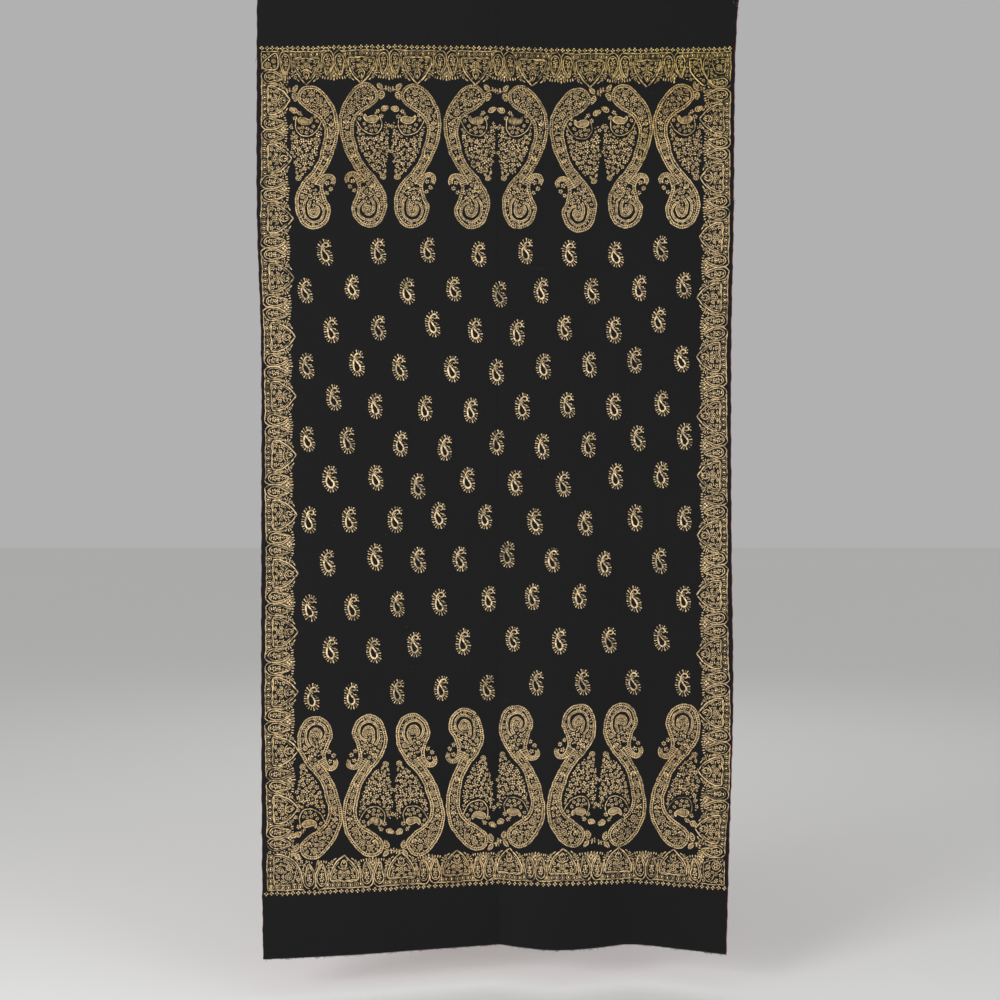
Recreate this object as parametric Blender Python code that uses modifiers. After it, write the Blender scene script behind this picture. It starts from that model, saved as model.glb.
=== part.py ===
"""Kashmir shawl, hung by its top edge with the embroidered face forward.

One loom width of wool, about 40 by 80 inches, hangs from its top edge. Its face is
worked in gold thread: a border round all four sides, and a row of large hooked botehs
at each end. The border and botehs are thin raised solids that follow the cloth.

Metres, +Z up. The origin is the middle of the top edge and the face looks along -Y.
Flat cloth places are (across, down): across from the middle line, down from the top.
"""

import functools
import math
from collections import namedtuple

import bmesh
import bpy
from mathutils import Vector
from mathutils.bvhtree import BVHTree

# Cloth sizes
WIDTH = 1.010
LENGTH = 2.020
HALF_WIDTH = WIDTH / 2
CLOTH_THICKNESS = 0.0012

# Hang of the cloth: how far each place of the hem stands forward, and how late in the
# drop that begins. The centre fold is the last row of one half and the first of the other.
FOLD_PLACE = 0.003
HemPlace = namedtuple("HemPlace", "across forward growth")
LEFT_HALF = (
    HemPlace(-HALF_WIDTH, 0.112, 1.3),
    HemPlace(-0.330, 0.080, 1.4),
    HemPlace(-0.160, 0.038, 1.6),
    HemPlace(FOLD_PLACE, 0.0, 2.0),
)
RIGHT_HALF = (
    HemPlace(FOLD_PLACE, 0.0, 2.0),
    HemPlace(0.120, 0.042, 2.4),
    HemPlace(0.210, 0.028, 2.4),
    HemPlace(0.295, 0.0, 2.4),
    HemPlace(0.390, 0.028, 2.6),
    HemPlace(HALF_WIDTH, 0.076, 2.8),
)
HEM_PLUMB_SHIFT = 0.038
PLUMB_GROWTH = 1.7
DRAPE_STEPS = 24

# Where the two selvedges hang, from the plumb middle line: the cloth draws in below its
# pulled top corners, and again where the waves of the hem take up its width
Edges = namedtuple("Edges", "down left right")
SELVEDGES = (
    Edges(0.0, 0.506, 0.507),
    Edges(0.15, 0.506, 0.499),
    Edges(0.48, 0.504, 0.496),
    Edges(0.75, 0.494, 0.491),
    Edges(1.15, 0.491, 0.491),
    Edges(1.50, 0.489, 0.493),
    Edges(1.85, 0.485, 0.481),
    Edges(LENGTH, 0.482, 0.475),
)

# Pressed lines, each a shallow trough that runs the whole way
Crease = namedtuple("Crease", "place half_width depth")
CENTRE_FOLD = Crease(FOLD_PLACE, 0.008, 0.0010)
END_LINE_INSET = 0.028
TOP_LINE = Crease(END_LINE_INSET, 0.006, 0.0010)
BOTTOM_LINE = Crease(LENGTH - END_LINE_INSET, 0.006, 0.0010)

# Embroidery, raised over the cloth
SEAT_GAP = 0.0006
CURVED_SEAT_GAP = 0.0007
THREAD_THICKNESS = 0.0008
BAND_JOINT = 0.0006
CORNER_JOINT = 0.0024

# Border bands: outer line, inner line and the points of the arches, with their spacing
Band = namedtuple("Band", "outer inner tip first_tip pitch tips")
SIDE_OUTER = 0.496
SIDE_INNER = 0.438
SIDE_TIP = 0.428
SIDE_TIPS = 13
LEFT_BAND = Band(-SIDE_OUTER, -SIDE_INNER, -SIDE_TIP, 0.233, 0.1235, SIDE_TIPS)
RIGHT_BAND = Band(SIDE_OUTER, SIDE_INNER, SIDE_TIP, 0.272, 0.1247, SIDE_TIPS)
TOP_BAND = Band(0.1165, 0.188, 0.197, -0.403, 0.1203, 7)
BOTTOM_BAND = Band(1.890, 1.826, 1.811, -0.331, 0.1189, 7)
TIP_HALF_WIDTH = 0.016
STATION_SPACE = 0.003

# Cloth grid, refined only where a crease or a band edge needs a line of points
FIELD_COLUMNS = 22
FIELD_ROWS = 15

# Large boteh: the middle line of its ribbon from head to curled tail, and half its width
# there. Inward is from its outermost side, along is from the top of its head.
Station = namedtuple("Station", "inward along half_width")
Numbered = namedtuple("Numbered", "number inward along half_width")
BOTEH_RIBBON = (
    Station(0.0834, 0.0244, 0.0040),
    Station(0.0794, 0.0243, 0.0140),
    Station(0.0712, 0.0244, 0.0205),
    Station(0.0595, 0.0276, 0.0244),
    Station(0.0468, 0.0361, 0.0258),
    Station(0.0340, 0.0489, 0.0240),
    Station(0.0245, 0.0648, 0.0205),
    Station(0.0174, 0.0829, 0.0174),
    Station(0.0191, 0.1148, 0.0162),
    Station(0.0298, 0.1445, 0.0145),
    Station(0.0485, 0.1743, 0.0140),
    Station(0.0665, 0.2008, 0.0155),
    Station(0.0835, 0.2274, 0.0140),
    Station(0.0905, 0.2571, 0.0118),
    Station(0.0835, 0.2848, 0.0108),
    Station(0.0659, 0.2971, 0.0106),
    Station(0.0457, 0.2890, 0.0104),
    Station(0.0357, 0.2656, 0.0100),
    Station(0.0415, 0.2440, 0.0088),
    Station(0.0564, 0.2375, 0.0072),
    Station(0.0674, 0.2480, 0.0062),
    Station(0.0678, 0.2656, 0.0056),
    Station(0.0595, 0.2735, 0.0048),
    Station(0.0531, 0.2667, 0.0036),
)
RIBBON_STATIONS = 30
TOP_LANES = 2
BOTTOM_LANES = 4
RIBBON_LENGTH = 0.3077
WIDEST_ALONG = 0.083
CURL_ALONG = 0.262
CURL_INWARD = 0.063

# Where each was worked: its outermost side, the middle of its curled tail, the top of its
# head and the end of its tail. One whose outermost side is on its left faces right.
Boteh = namedtuple("Boteh", "outermost curl head tail faces")
LEFT, RIGHT = -1, 1
TOP_BOTEHS = (
    Boteh(-0.336, -0.386, 0.204, 0.507, LEFT),
    Boteh(-0.333, -0.272, 0.200, 0.502, RIGHT),
    Boteh(-0.119, -0.178, 0.200, 0.503, LEFT),
    Boteh(-0.113, -0.056, 0.202, 0.504, RIGHT),
    Boteh(0.108, 0.048, 0.202, 0.504, LEFT),
    Boteh(0.111, 0.173, 0.209, 0.511, RIGHT),
    Boteh(0.331, 0.275, 0.199, 0.503, LEFT),
    Boteh(0.335, 0.394, 0.199, 0.503, RIGHT),
)
BOTTOM_BOTEHS = (
    Boteh(-0.337, -0.387, 1.819, 1.523, LEFT),
    Boteh(-0.334, -0.279, 1.817, 1.522, RIGHT),
    Boteh(-0.117, -0.180, 1.820, 1.521, LEFT),
    Boteh(-0.112, -0.071, 1.815, 1.513, RIGHT),
    Boteh(0.104, 0.046, 1.808, 1.507, LEFT),
    Boteh(0.109, 0.170, 1.802, 1.503, RIGHT),
    Boteh(0.325, 0.268, 1.807, 1.503, LEFT),
    Boteh(0.331, 0.396, 1.807, 1.503, RIGHT),
)


def clear_scene():
    for obj in list(bpy.data.objects):
        bpy.data.objects.remove(obj, do_unlink=True)


def new_collection(name):
    collection = bpy.data.collections.new(name)
    bpy.context.scene.collection.children.link(collection)
    return collection


def fabric_material(name, colour, roughness, metallic=0.0):
    material = bpy.data.materials.new(name)
    material.use_nodes = True
    shader = material.node_tree.nodes["Principled BSDF"]
    shader.inputs["Base Color"].default_value = (*colour, 1.0)
    shader.inputs["Roughness"].default_value = roughness
    shader.inputs["Metallic"].default_value = metallic
    return material


def eased(places, columns, position, key):
    """Columns of a table of places, read at a position by a smooth curve through its rows."""
    last = len(places) - 1
    index = 0
    while index < last - 1 and getattr(places[index + 1], key) < position:
        index += 1
    first, second = places[index], places[index + 1]
    before, after = places[max(index - 1, 0)], places[min(index + 2, last)]
    start, end = getattr(first, key), getattr(second, key)
    share = min(1.0, max(0.0, (position - start) / (end - start)))
    values = []
    for column in columns:
        low, high = getattr(first, column), getattr(second, column)
        step = end - start
        slope_in = (high - getattr(before, column)) / (end - getattr(before, key)) * step
        slope_out = (getattr(after, column) - low) / (getattr(after, key) - start) * step
        values.append(hermite(low, high, slope_in, slope_out, share))
    return values


def hermite(low, high, slope_in, slope_out, share):
    square, cube = share * share, share**3
    return (
        low * (2 * cube - 3 * square + 1)
        + slope_in * (cube - 2 * square + share)
        + high * (3 * square - 2 * cube)
        + slope_out * (cube - square)
    )


def trough(crease, position):
    return crease.depth * max(0.0, 1 - abs(position - crease.place) / crease.half_width)


def forward(across, down):
    """How far the cloth's middle surface stands in front of the plumb plane."""
    half = LEFT_HALF if across < FOLD_PLACE else RIGHT_HALF
    hem_forward, growth = eased(half, ("forward", "growth"), across, "across")
    drop = max(0.0, down) / LENGTH
    hang = hem_forward * drop**growth - HEM_PLUMB_SHIFT * drop**PLUMB_GROWTH
    creases = trough(CENTRE_FOLD, across) + trough(TOP_LINE, down) + trough(BOTTOM_LINE, down)
    return hang - creases


def covered(start, end, height_at):
    """Distance covered on the level by a stretch of cloth from start to end, which spends
    the rest of its own length on rising and falling as height_at says."""
    step = (end - start) / DRAPE_STEPS
    if step == 0:
        return 0.0
    heights = [height_at(start + step * i) for i in range(DRAPE_STEPS + 1)]
    rises = [b - a for a, b in zip(heights, heights[1:])]
    spans = [math.sqrt(max(step * step - rise * rise, 0.0)) for rise in rises]
    return math.copysign(sum(spans), step)


@functools.cache
def draw_in(down, side):
    """How much the cloth on one side of the middle draws in to meet its selvedge's hang."""
    left, right = eased(SELVEDGES, ("left", "right"), down, "down")
    reach = right if side > 0 else left
    return reach / abs(covered(0.0, side * HALF_WIDTH, lambda place: forward(place, down)))


def drape(across, down):
    """Where a place of the flat cloth hangs, on the cloth's middle surface."""
    level = covered(0.0, across, lambda place: forward(place, down))
    x = level * draw_in(down, 1 if across > 0 else -1)
    z = -covered(0.0, down, lambda place: forward(across, place))
    return Vector((x, -forward(across, down), z))


def spaced(start, end, cells):
    return [start + (end - start) * i / cells for i in range(cells + 1)]


def crease_lines(crease):
    return [crease.place + crease.half_width * side for side in (-1, 0, 1)]


def grid_lines():
    """The flat places of the cloth's columns and rows of points."""
    margin = [(SIDE_OUTER + SIDE_INNER) / 2, SIDE_OUTER, HALF_WIDTH]
    fold_left, fold, fold_right = crease_lines(CENTRE_FOLD)
    columns = [-place for place in reversed(margin)]
    columns += spaced(-SIDE_INNER, fold_left, FIELD_COLUMNS)
    columns += [fold]
    columns += spaced(fold_right, SIDE_INNER, FIELD_COLUMNS)
    columns += margin
    rows = [0.0, *crease_lines(TOP_LINE), TOP_BAND.outer]
    rows += spaced(TOP_BAND.inner, BOTTOM_BAND.inner, FIELD_ROWS)
    rows += [BOTTOM_BAND.outer, *crease_lines(BOTTOM_LINE), LENGTH]
    return columns, rows


def sheet_mesh(name, across_count, down_count, place):
    """A grid of points, each put where place(column, row) says, with its face to -Y."""
    mesh = bmesh.new()
    bmesh.ops.create_grid(
        mesh, x_segments=across_count - 1, y_segments=down_count - 1, size=1.0
    )
    for vertex in mesh.verts:
        column = round((vertex.co.x + 1) / 2 * (across_count - 1))
        row = round((1 - vertex.co.y) / 2 * (down_count - 1))
        vertex.co = place(column, row)
    mesh.normal_update()
    if sum(face.normal.y * face.calc_area() for face in mesh.faces) > 0:
        bmesh.ops.reverse_faces(mesh, faces=mesh.faces)
    data = bpy.data.meshes.new(name)
    mesh.to_mesh(data)
    mesh.free()
    return data


def walled(name, data, thickness, side, material, collection):
    """An object that gives an open sheet its thickness: side 0 both ways, 1 outwards."""
    data.materials.append(material)
    data.shade_smooth()
    obj = bpy.data.objects.new(name, data)
    collection.objects.link(obj)
    solidify = obj.modifiers.new("Thickness", "SOLIDIFY")
    solidify.thickness = thickness
    solidify.offset = side
    solidify.use_rim = True
    return obj


def add_cloth(material, collection):
    columns, rows = grid_lines()
    data = sheet_mesh(
        "cloth", len(columns), len(rows), lambda i, j: drape(columns[i], rows[j])
    )
    return walled("cloth", data, CLOTH_THICKNESS, 0, material, collection)


def seat_finder(cloth):
    """A function that gives the point a gap off the cloth's face, over a flat place."""
    faceted = bmesh.new()
    faceted.from_mesh(cloth.data)
    tree = BVHTree.FromBMesh(faceted)
    faceted.free()

    def seat(across, down, gap):
        place, normal, _, _ = tree.find_nearest(drape(across, down))
        return place + normal * (CLOTH_THICKNESS / 2 + gap)

    return seat


def band_stations(band, start, end, cloth_lines):
    """Places along a band, each with its inner edge there: the points of the arches, and
    the cloth's own lines. A cloth line that all but meets an arch's turn is left out."""
    turns = [(start, band.inner)]
    for tip in range(band.tips):
        centre = band.first_tip + band.pitch * tip
        turns.append((centre - TIP_HALF_WIDTH, band.inner))
        turns.append((centre, band.tip))
        turns.append((centre + TIP_HALF_WIDTH, band.inner))
    turns.append((end, band.inner))
    stations = list(turns)
    for (low, low_edge), (high, high_edge) in zip(turns, turns[1:]):
        for line in cloth_lines:
            if low + STATION_SPACE < line < high - STATION_SPACE:
                share = (line - low) / (high - low)
                stations.append((line, low_edge + (high_edge - low_edge) * share))
    return sorted(stations)


def add_band(name, band, span, upright, seat, material, collection):
    """A border band over a span, with a point on its inner edge for each arch."""
    columns, rows = grid_lines()
    stations = band_stations(band, *span, rows if upright else columns)
    middle = (band.outer + band.inner) / 2

    def place(lane, station):
        along, edge = stations[station]
        off = (band.outer, middle, band.inner, edge)[lane]
        if lane == 3 and edge == band.inner:
            off += math.copysign(BAND_JOINT, band.tip - band.inner)
        return seat(off, along, SEAT_GAP) if upright else seat(along, off, SEAT_GAP)

    data = sheet_mesh(name, 4, len(stations), place)
    walled(name, data, THREAD_THICKNESS, 1, material, collection)


def add_border(seat, material, collection):
    across = (-SIDE_OUTER, SIDE_OUTER)
    down = (TOP_BAND.inner + CORNER_JOINT, BOTTOM_BAND.inner - CORNER_JOINT)
    add_band("border_top", TOP_BAND, across, False, seat, material, collection)
    add_band("border_bottom", BOTTOM_BAND, across, False, seat, material, collection)
    add_band("border_left", LEFT_BAND, down, True, seat, material, collection)
    add_band("border_right", RIGHT_BAND, down, True, seat, material, collection)


def ribbon_places(lanes):
    """Flat places across the boteh's ribbon at each station, from one edge to the other."""
    last = len(BOTEH_RIBBON) - 1
    numbered = [Numbered(i, *station) for i, station in enumerate(BOTEH_RIBBON)]
    keys = Station._fields
    line = [eased(numbered, keys, place, "number") for place in spaced(0, last, RIBBON_STATIONS)]
    stations = []
    for i, (inward, along, half_width) in enumerate(line):
        before, after = line[max(i - 1, 0)], line[min(i + 1, len(line) - 1)]
        heading = Vector((after[0] - before[0], after[1] - before[1])).normalized()
        sideways = Vector((-heading.y, heading.x)) * half_width
        middle = Vector((inward, along))
        shares = spaced(-1.0, 1.0, lanes - 1)
        stations.append([middle + sideways * share for share in shares])
    return stations


def add_botehs(label, row, lanes, gap, seat, material, collection):
    """A row of botehs, each stretched and leant to where it was worked."""
    stations = ribbon_places(lanes)
    for number, boteh in enumerate(row, start=1):
        stretch = (boteh.tail - boteh.head) / RIBBON_LENGTH
        lean = (boteh.curl - boteh.outermost) * boteh.faces - CURL_INWARD

        def place(lane, station):
            flat = stations[station][lane]
            leant = flat.x + lean * (flat.y - WIDEST_ALONG) / (CURL_ALONG - WIDEST_ALONG)
            across = boteh.outermost + boteh.faces * leant
            return seat(across, boteh.head + stretch * flat.y, gap)

        name = f"boteh_{label}_{number}"
        data = sheet_mesh(name, lanes, len(stations), place)
        walled(name, data, THREAD_THICKNESS, 1, material, collection)


def main():
    clear_scene()
    collection = new_collection("kashmir_shawl")
    wool = fabric_material("black_wool", (0.013, 0.013, 0.014), 0.9)
    gold = fabric_material("gold_thread", (0.52, 0.38, 0.17), 0.45, metallic=0.3)
    cloth = add_cloth(wool, collection)
    seat = seat_finder(cloth)
    add_border(seat, gold, collection)
    add_botehs("top", TOP_BOTEHS, TOP_LANES, SEAT_GAP, seat, gold, collection)
    add_botehs("bottom", BOTTOM_BOTEHS, BOTTOM_LANES, CURVED_SEAT_GAP, seat, gold, collection)


main()
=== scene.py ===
"""Kashmir shawl: the looks of the hanging cloth, its gold embroidery and its frayed ends.

Metres, +Z up, in the frame of the CAD solids. The cloth is laid out flat first, as places
(across, down) from the middle of its top edge, and drape() hangs every place. Motifs are
charted in millimetres of flat cloth, as lines of stitches, and then put where they belong.
"""

import math
from collections import namedtuple

import bpy
import numpy as np
from mathutils.kdtree import KDTree
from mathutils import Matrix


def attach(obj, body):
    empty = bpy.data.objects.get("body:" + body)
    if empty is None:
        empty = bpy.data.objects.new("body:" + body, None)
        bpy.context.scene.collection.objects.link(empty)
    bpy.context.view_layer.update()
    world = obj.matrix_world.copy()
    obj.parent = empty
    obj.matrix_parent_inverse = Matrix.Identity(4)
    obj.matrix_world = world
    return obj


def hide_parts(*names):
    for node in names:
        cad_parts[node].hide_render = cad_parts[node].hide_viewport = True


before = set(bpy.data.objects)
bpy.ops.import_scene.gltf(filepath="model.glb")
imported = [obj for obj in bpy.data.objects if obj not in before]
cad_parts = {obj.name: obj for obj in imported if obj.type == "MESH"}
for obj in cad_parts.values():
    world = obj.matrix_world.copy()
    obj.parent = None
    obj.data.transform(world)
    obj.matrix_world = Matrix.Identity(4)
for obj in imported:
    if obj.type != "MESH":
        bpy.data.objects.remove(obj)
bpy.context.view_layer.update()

MM = 0.001
LEFT, RIGHT = -1, 1
TOP, BOTTOM = -1, 1
rng = np.random.default_rng(1850)

# Cloth sizes
WIDTH = 1.010
LENGTH = 2.020
HALF_WIDTH = WIDTH / 2
CLOTH_THICKNESS = 0.0010
FACE = CLOTH_THICKNESS / 2

# Hang of the cloth, as in the CAD: across, how far the hem stands forward, growth downwards
FOLD_PLACE = 0.003
LEFT_HALF = np.array((
    (-HALF_WIDTH, 0.112, 1.3),
    (-0.330, 0.080, 1.4),
    (-0.160, 0.038, 1.6),
    (FOLD_PLACE, 0.0, 2.0),
))
RIGHT_HALF = np.array((
    (FOLD_PLACE, 0.0, 2.0),
    (0.120, 0.042, 2.4),
    (0.210, 0.028, 2.4),
    (0.295, 0.0, 2.4),
    (0.390, 0.028, 2.6),
    (HALF_WIDTH, 0.076, 2.8),
))
HEM_PLUMB_SHIFT = 0.038
PLUMB_GROWTH = 1.7

# Where the selvedges hang: down, left and right distance from the plumb middle line
SELVEDGES = np.array((
    (0.0, 0.506, 0.507),
    (0.15, 0.506, 0.499),
    (0.48, 0.504, 0.496),
    (0.75, 0.494, 0.491),
    (1.15, 0.491, 0.491),
    (1.50, 0.489, 0.493),
    (1.85, 0.485, 0.481),
    (LENGTH, 0.482, 0.475),
))

# Pressed lines: place, half width and depth. One down the middle and one near each end.
Crease = namedtuple("Crease", "place half_width depth")
CENTRE_FOLD = Crease(FOLD_PLACE, 0.008, 0.0010)
TOP_LINE = Crease(0.028, 0.005, 0.0009)
BOTTOM_LINE = Crease(LENGTH - 0.028, 0.005, 0.0009)

# Soft creases: their middle, half length and half width, lean from upright, and height
Fold = namedtuple("Fold", "across down half_length half_width lean height")
SOFT_FOLDS = (
    Fold(-0.33, 0.070, 0.05, 0.017, -0.25, 0.0016),
    Fold(0.10, 0.075, 0.05, 0.015, 0.35, -0.0016),
    Fold(-0.28, 0.62, 0.16, 0.020, 0.25, -0.0024),
    Fold(0.21, 0.74, 0.19, 0.022, 0.10, -0.0026),
    Fold(-0.12, 0.95, 0.22, 0.026, -0.12, 0.0028),
    Fold(0.33, 1.16, 0.25, 0.030, -0.18, 0.0030),
    Fold(-0.36, 1.30, 0.20, 0.026, 0.08, 0.0026),
    Fold(0.05, 1.38, 0.17, 0.020, 0.30, -0.0022),
    Fold(-0.20, 1.93, 0.08, 0.022, 0.15, -0.0026),
    Fold(0.27, 1.92, 0.06, 0.018, -0.20, 0.0022),
)

# The flat grid on which the hang is worked out, with steps of 2 mm across and 4 mm down
GRID_COLUMNS, GRID_ROWS = 507, 506
GRID_ACROSS = np.linspace(-HALF_WIDTH, HALF_WIDTH, GRID_COLUMNS)
GRID_DOWN = np.linspace(0.0, LENGTH, GRID_ROWS)


def eased(table, column, position):
    """A column of a table, read at positions by a smooth curve through its rows."""
    keys = table[:, 0]
    last = len(keys) - 1
    index = np.clip(np.searchsorted(keys, position) - 1, 0, last - 1)
    before, after = np.maximum(index - 1, 0), np.minimum(index + 2, last)
    low, high = table[index, column], table[index + 1, column]
    start, end = keys[index], keys[index + 1]
    step = end - start
    share = np.clip((position - start) / step, 0.0, 1.0)
    slope_in = (high - table[before, column]) / (end - keys[before]) * step
    slope_out = (table[after, column] - low) / (keys[after] - start) * step
    square, cube = share**2, share**3
    return (
        low * (2 * cube - 3 * square + 1)
        + slope_in * (cube - 2 * square + share)
        + high * (3 * square - 2 * cube)
        + slope_out * (cube - square)
    )


def trough(crease, position):
    """How far a pressed line sets the cloth back, at positions square to it."""
    reach = np.clip(np.abs(position - crease.place) / crease.half_width, 0.0, 1.0)
    return crease.depth * (0.5 + 0.5 * np.cos(math.pi * reach))


def soft_folds(across, down):
    """How far the soft creases lift the cloth. Each is a long smooth swelling or hollow."""
    rise = np.zeros_like(across)
    for fold in SOFT_FOLDS:
        x, y = across - fold.across, down - fold.down
        along = x * math.sin(fold.lean) + y * math.cos(fold.lean)
        aside = x * math.cos(fold.lean) - y * math.sin(fold.lean)
        rise += fold.height * np.exp(-(along / fold.half_length) ** 2 - (aside / fold.half_width) ** 2)
    return rise


def forward(across, down):
    """How far the cloth's middle surface stands in front of the plumb plane."""
    left = across < FOLD_PLACE
    hem = np.where(left, eased(LEFT_HALF, 1, across), eased(RIGHT_HALF, 1, across))
    growth = np.where(left, eased(LEFT_HALF, 2, across), eased(RIGHT_HALF, 2, across))
    drop = np.clip(down, 0.0, None) / LENGTH
    hang = hem * drop**growth - HEM_PLUMB_SHIFT * drop**PLUMB_GROWTH
    creases = trough(CENTRE_FOLD, across) + trough(TOP_LINE, down) + trough(BOTTOM_LINE, down)
    return hang - creases + soft_folds(across, down)


def covered(steps, rises, origin):
    """Level distance from the origin's index, where each step spends length on its rise."""
    spans = np.sqrt(np.maximum(steps**2 - rises**2, 0.0))
    total = np.concatenate(([0.0], np.cumsum(spans)))
    return total - total[origin]


def hung_grid():
    """Points and face normals of the hanging cloth over the flat grid."""
    across, down = np.meshgrid(GRID_ACROSS, GRID_DOWN)
    ahead = forward(across, down)
    middle = len(GRID_ACROSS) // 2
    x = np.array([covered(np.diff(GRID_ACROSS), np.diff(row), middle) for row in ahead])
    left = eased(SELVEDGES, 1, GRID_DOWN)[:, None]
    right = eased(SELVEDGES, 2, GRID_DOWN)[:, None]
    x = np.where(x < 0, x * left / -x[:, :1], x * right / x[:, -1:])
    z = -np.array([covered(np.diff(GRID_DOWN), np.diff(col), 0) for col in ahead.T]).T
    points = np.stack((x, -ahead, z), axis=-1)
    down_slope, across_slope = np.gradient(points, axis=(0, 1))
    normals = np.cross(across_slope, -down_slope)
    normals /= np.linalg.norm(normals, axis=-1, keepdims=True)
    return points, normals


GRID_POINTS, GRID_NORMALS = hung_grid()


def drape(flat, height=0.0):
    """Hangs flat places, each raised by a height in front of the cloth's middle surface."""
    column = (flat[:, 0] - GRID_ACROSS[0]) / (GRID_ACROSS[1] - GRID_ACROSS[0])
    row = (flat[:, 1] - GRID_DOWN[0]) / (GRID_DOWN[1] - GRID_DOWN[0])
    i = np.clip(column.astype(int), 0, len(GRID_ACROSS) - 2)
    j = np.clip(row.astype(int), 0, len(GRID_DOWN) - 2)
    s, t = (column - i)[:, None], (row - j)[:, None]

    def read(grid):
        upper = grid[j, i] * (1 - s) + grid[j, i + 1] * s
        lower = grid[j + 1, i] * (1 - s) + grid[j + 1, i + 1] * s
        return upper * (1 - t) + lower * t

    normals = read(GRID_NORMALS)
    normals /= np.linalg.norm(normals, axis=-1, keepdims=True)
    return read(GRID_POINTS) + normals * np.reshape(height, (-1, 1))


# The camera stands where the photograph was taken from, about level with the middle of the cloth
CAMERA_PLACE = (0.0046, -3.26, -1.074)
LENS = 55.8
SENSOR = 36.0
FRAME_PIXELS = 1000
FOCAL_PIXELS = LENS / SENSOR * FRAME_PIXELS
# Rounds in which a flat place is brought under the pixel at which it is seen
CORRECTIONS = 6


def seen_at(points):
    """Pixels of the photograph's frame at which points are seen."""
    depth = points[:, 1] - CAMERA_PLACE[1]
    x = FRAME_PIXELS / 2 + FOCAL_PIXELS * (points[:, 0] - CAMERA_PLACE[0]) / depth
    y = FRAME_PIXELS / 2 - FOCAL_PIXELS * (points[:, 2] - CAMERA_PLACE[2]) / depth
    return np.stack((x, y), axis=-1)


def flat_at(pixels):
    """Flat places that are seen at pixels of the photograph's frame."""
    scale = -CAMERA_PLACE[1] / FOCAL_PIXELS
    flat = (pixels - FRAME_PIXELS / 2) * scale + (CAMERA_PLACE[0], -CAMERA_PLACE[2])
    for _ in range(CORRECTIONS):
        flat = flat + (pixels - seen_at(drape(flat))) * scale
    return flat


# Stitch lines: points of flat cloth, a width at each of them, and how bright the thread is painted, its tone
# and, on satin stitches, a painted highlight.
# The points are in millimetres until they are put in place, and the widths always are.
Line = namedtuple("Line", "points widths shade", defaults=(1.0,))
# About one stitch along a worked line, widths of thread, and shades of single stitches: plain lines dimmer,
# and satin stitches brighter by a painted highlight of their sheen
STEP = 3.2
FINE, CORD, BOLD = 1.5, 2.1, 2.8
DIM, SATIN_HIGHLIGHT = 0.72, 1.3


def smooth(points, step=STEP, closed=False):
    """A smooth curve through points, with a point about every step."""
    points = np.asarray(points, float)
    if closed:
        ring = np.vstack((points[-1:], points, points[:2]))
    else:
        ring = np.vstack((2 * points[0] - points[1], points, 2 * points[-1] - points[-2]))
    spans = []
    for a, b, c, d in zip(ring, ring[1:], ring[2:], ring[3:]):
        count = max(1, round(math.dist(b, c) / step))
        t = (np.arange(count) / count)[:, None]
        bend = (2 * a - 5 * b + 4 * c - d) * t**2 + (3 * b - a - 3 * c + d) * t**3
        spans.append(b + 0.5 * ((c - a) * t + bend))
    return np.vstack((*spans, ring[-2:-1]))


def line(points, width, ends=0.6, shade=1.0):
    """One line through points, of even width except at its two ends."""
    points = np.asarray(points, float)
    widths = np.full(len(points), float(width))
    widths[[0, -1]] *= ends
    return [Line(points, widths, shade)]


def curve(points, width=CORD, closed=False, shade=1.0):
    """One smooth line through a few points."""
    return line(smooth(points, closed=closed), width, 1.0 if closed else 0.6, shade)


def straight(start, end):
    """One straight line."""
    start, end = np.array(start), np.array(end)
    return curve((start, (start + end) / 2, end))


LONG_STITCH = 5.0


def oval(start, end, width, shade=1.0):
    """One fat satin stitch, widest past its middle."""
    start, end = np.asarray(start, float), np.asarray(end, float)
    if math.dist(start, end) > LONG_STITCH:
        shares, swell = (0.0, 0.3, 0.75, 1.0), (0.45, 0.85, 1.0, 0.4)
    else:
        shares, swell = (0.0, 0.6, 1.0), (0.5, 1.0, 0.45)
    return [Line(start + (end - start) * np.array(shares)[:, None], width * np.array(swell), shade)]


def ovals(rows, width, shade=1.0):
    """Satin stitches of one width, from rows of a start and an end."""
    return [stitch for start, end in rows for stitch in oval(start, end, width, shade)]


def around(centre, radius, count, turn=0.0):
    """Places spread evenly round a centre."""
    angles = turn + np.arange(count) * 2 * math.pi / count
    return np.asarray(centre) + radius * np.stack((np.cos(angles), np.sin(angles)), axis=-1)


def ring(centre, radius, width=FINE, shade=1.0):
    """One round line."""
    count = max(6, round(2 * math.pi * radius / STEP))
    points = around(centre, radius, count)
    return line(np.vstack((points, points[:1])), width, 1.0, shade)


# The radius of a floret's eye and the widths of its petals added up, both in its own radii
EYE_SHARE = 0.3
PETALS_SHARE = 3.1


def floret(centre, radius, petals=5, turn=0.3, shade=1.2):
    """Petals round a dark eye."""
    eyes = around(centre, radius * EYE_SHARE, petals, turn)
    tips = around(centre, radius, petals, turn)
    width = radius * PETALS_SHARE / petals
    return [stitch for eye, tip in zip(eyes, tips) for stitch in oval(eye, tip, width, shade)]


def rosette(centre, radius, petals=6, turn=0.0):
    """A floret in a ring."""
    return ring(centre, radius - 0.8) + floret(centre, radius * 0.68, petals, turn)


BROAD_LEAF = 8.0


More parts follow.
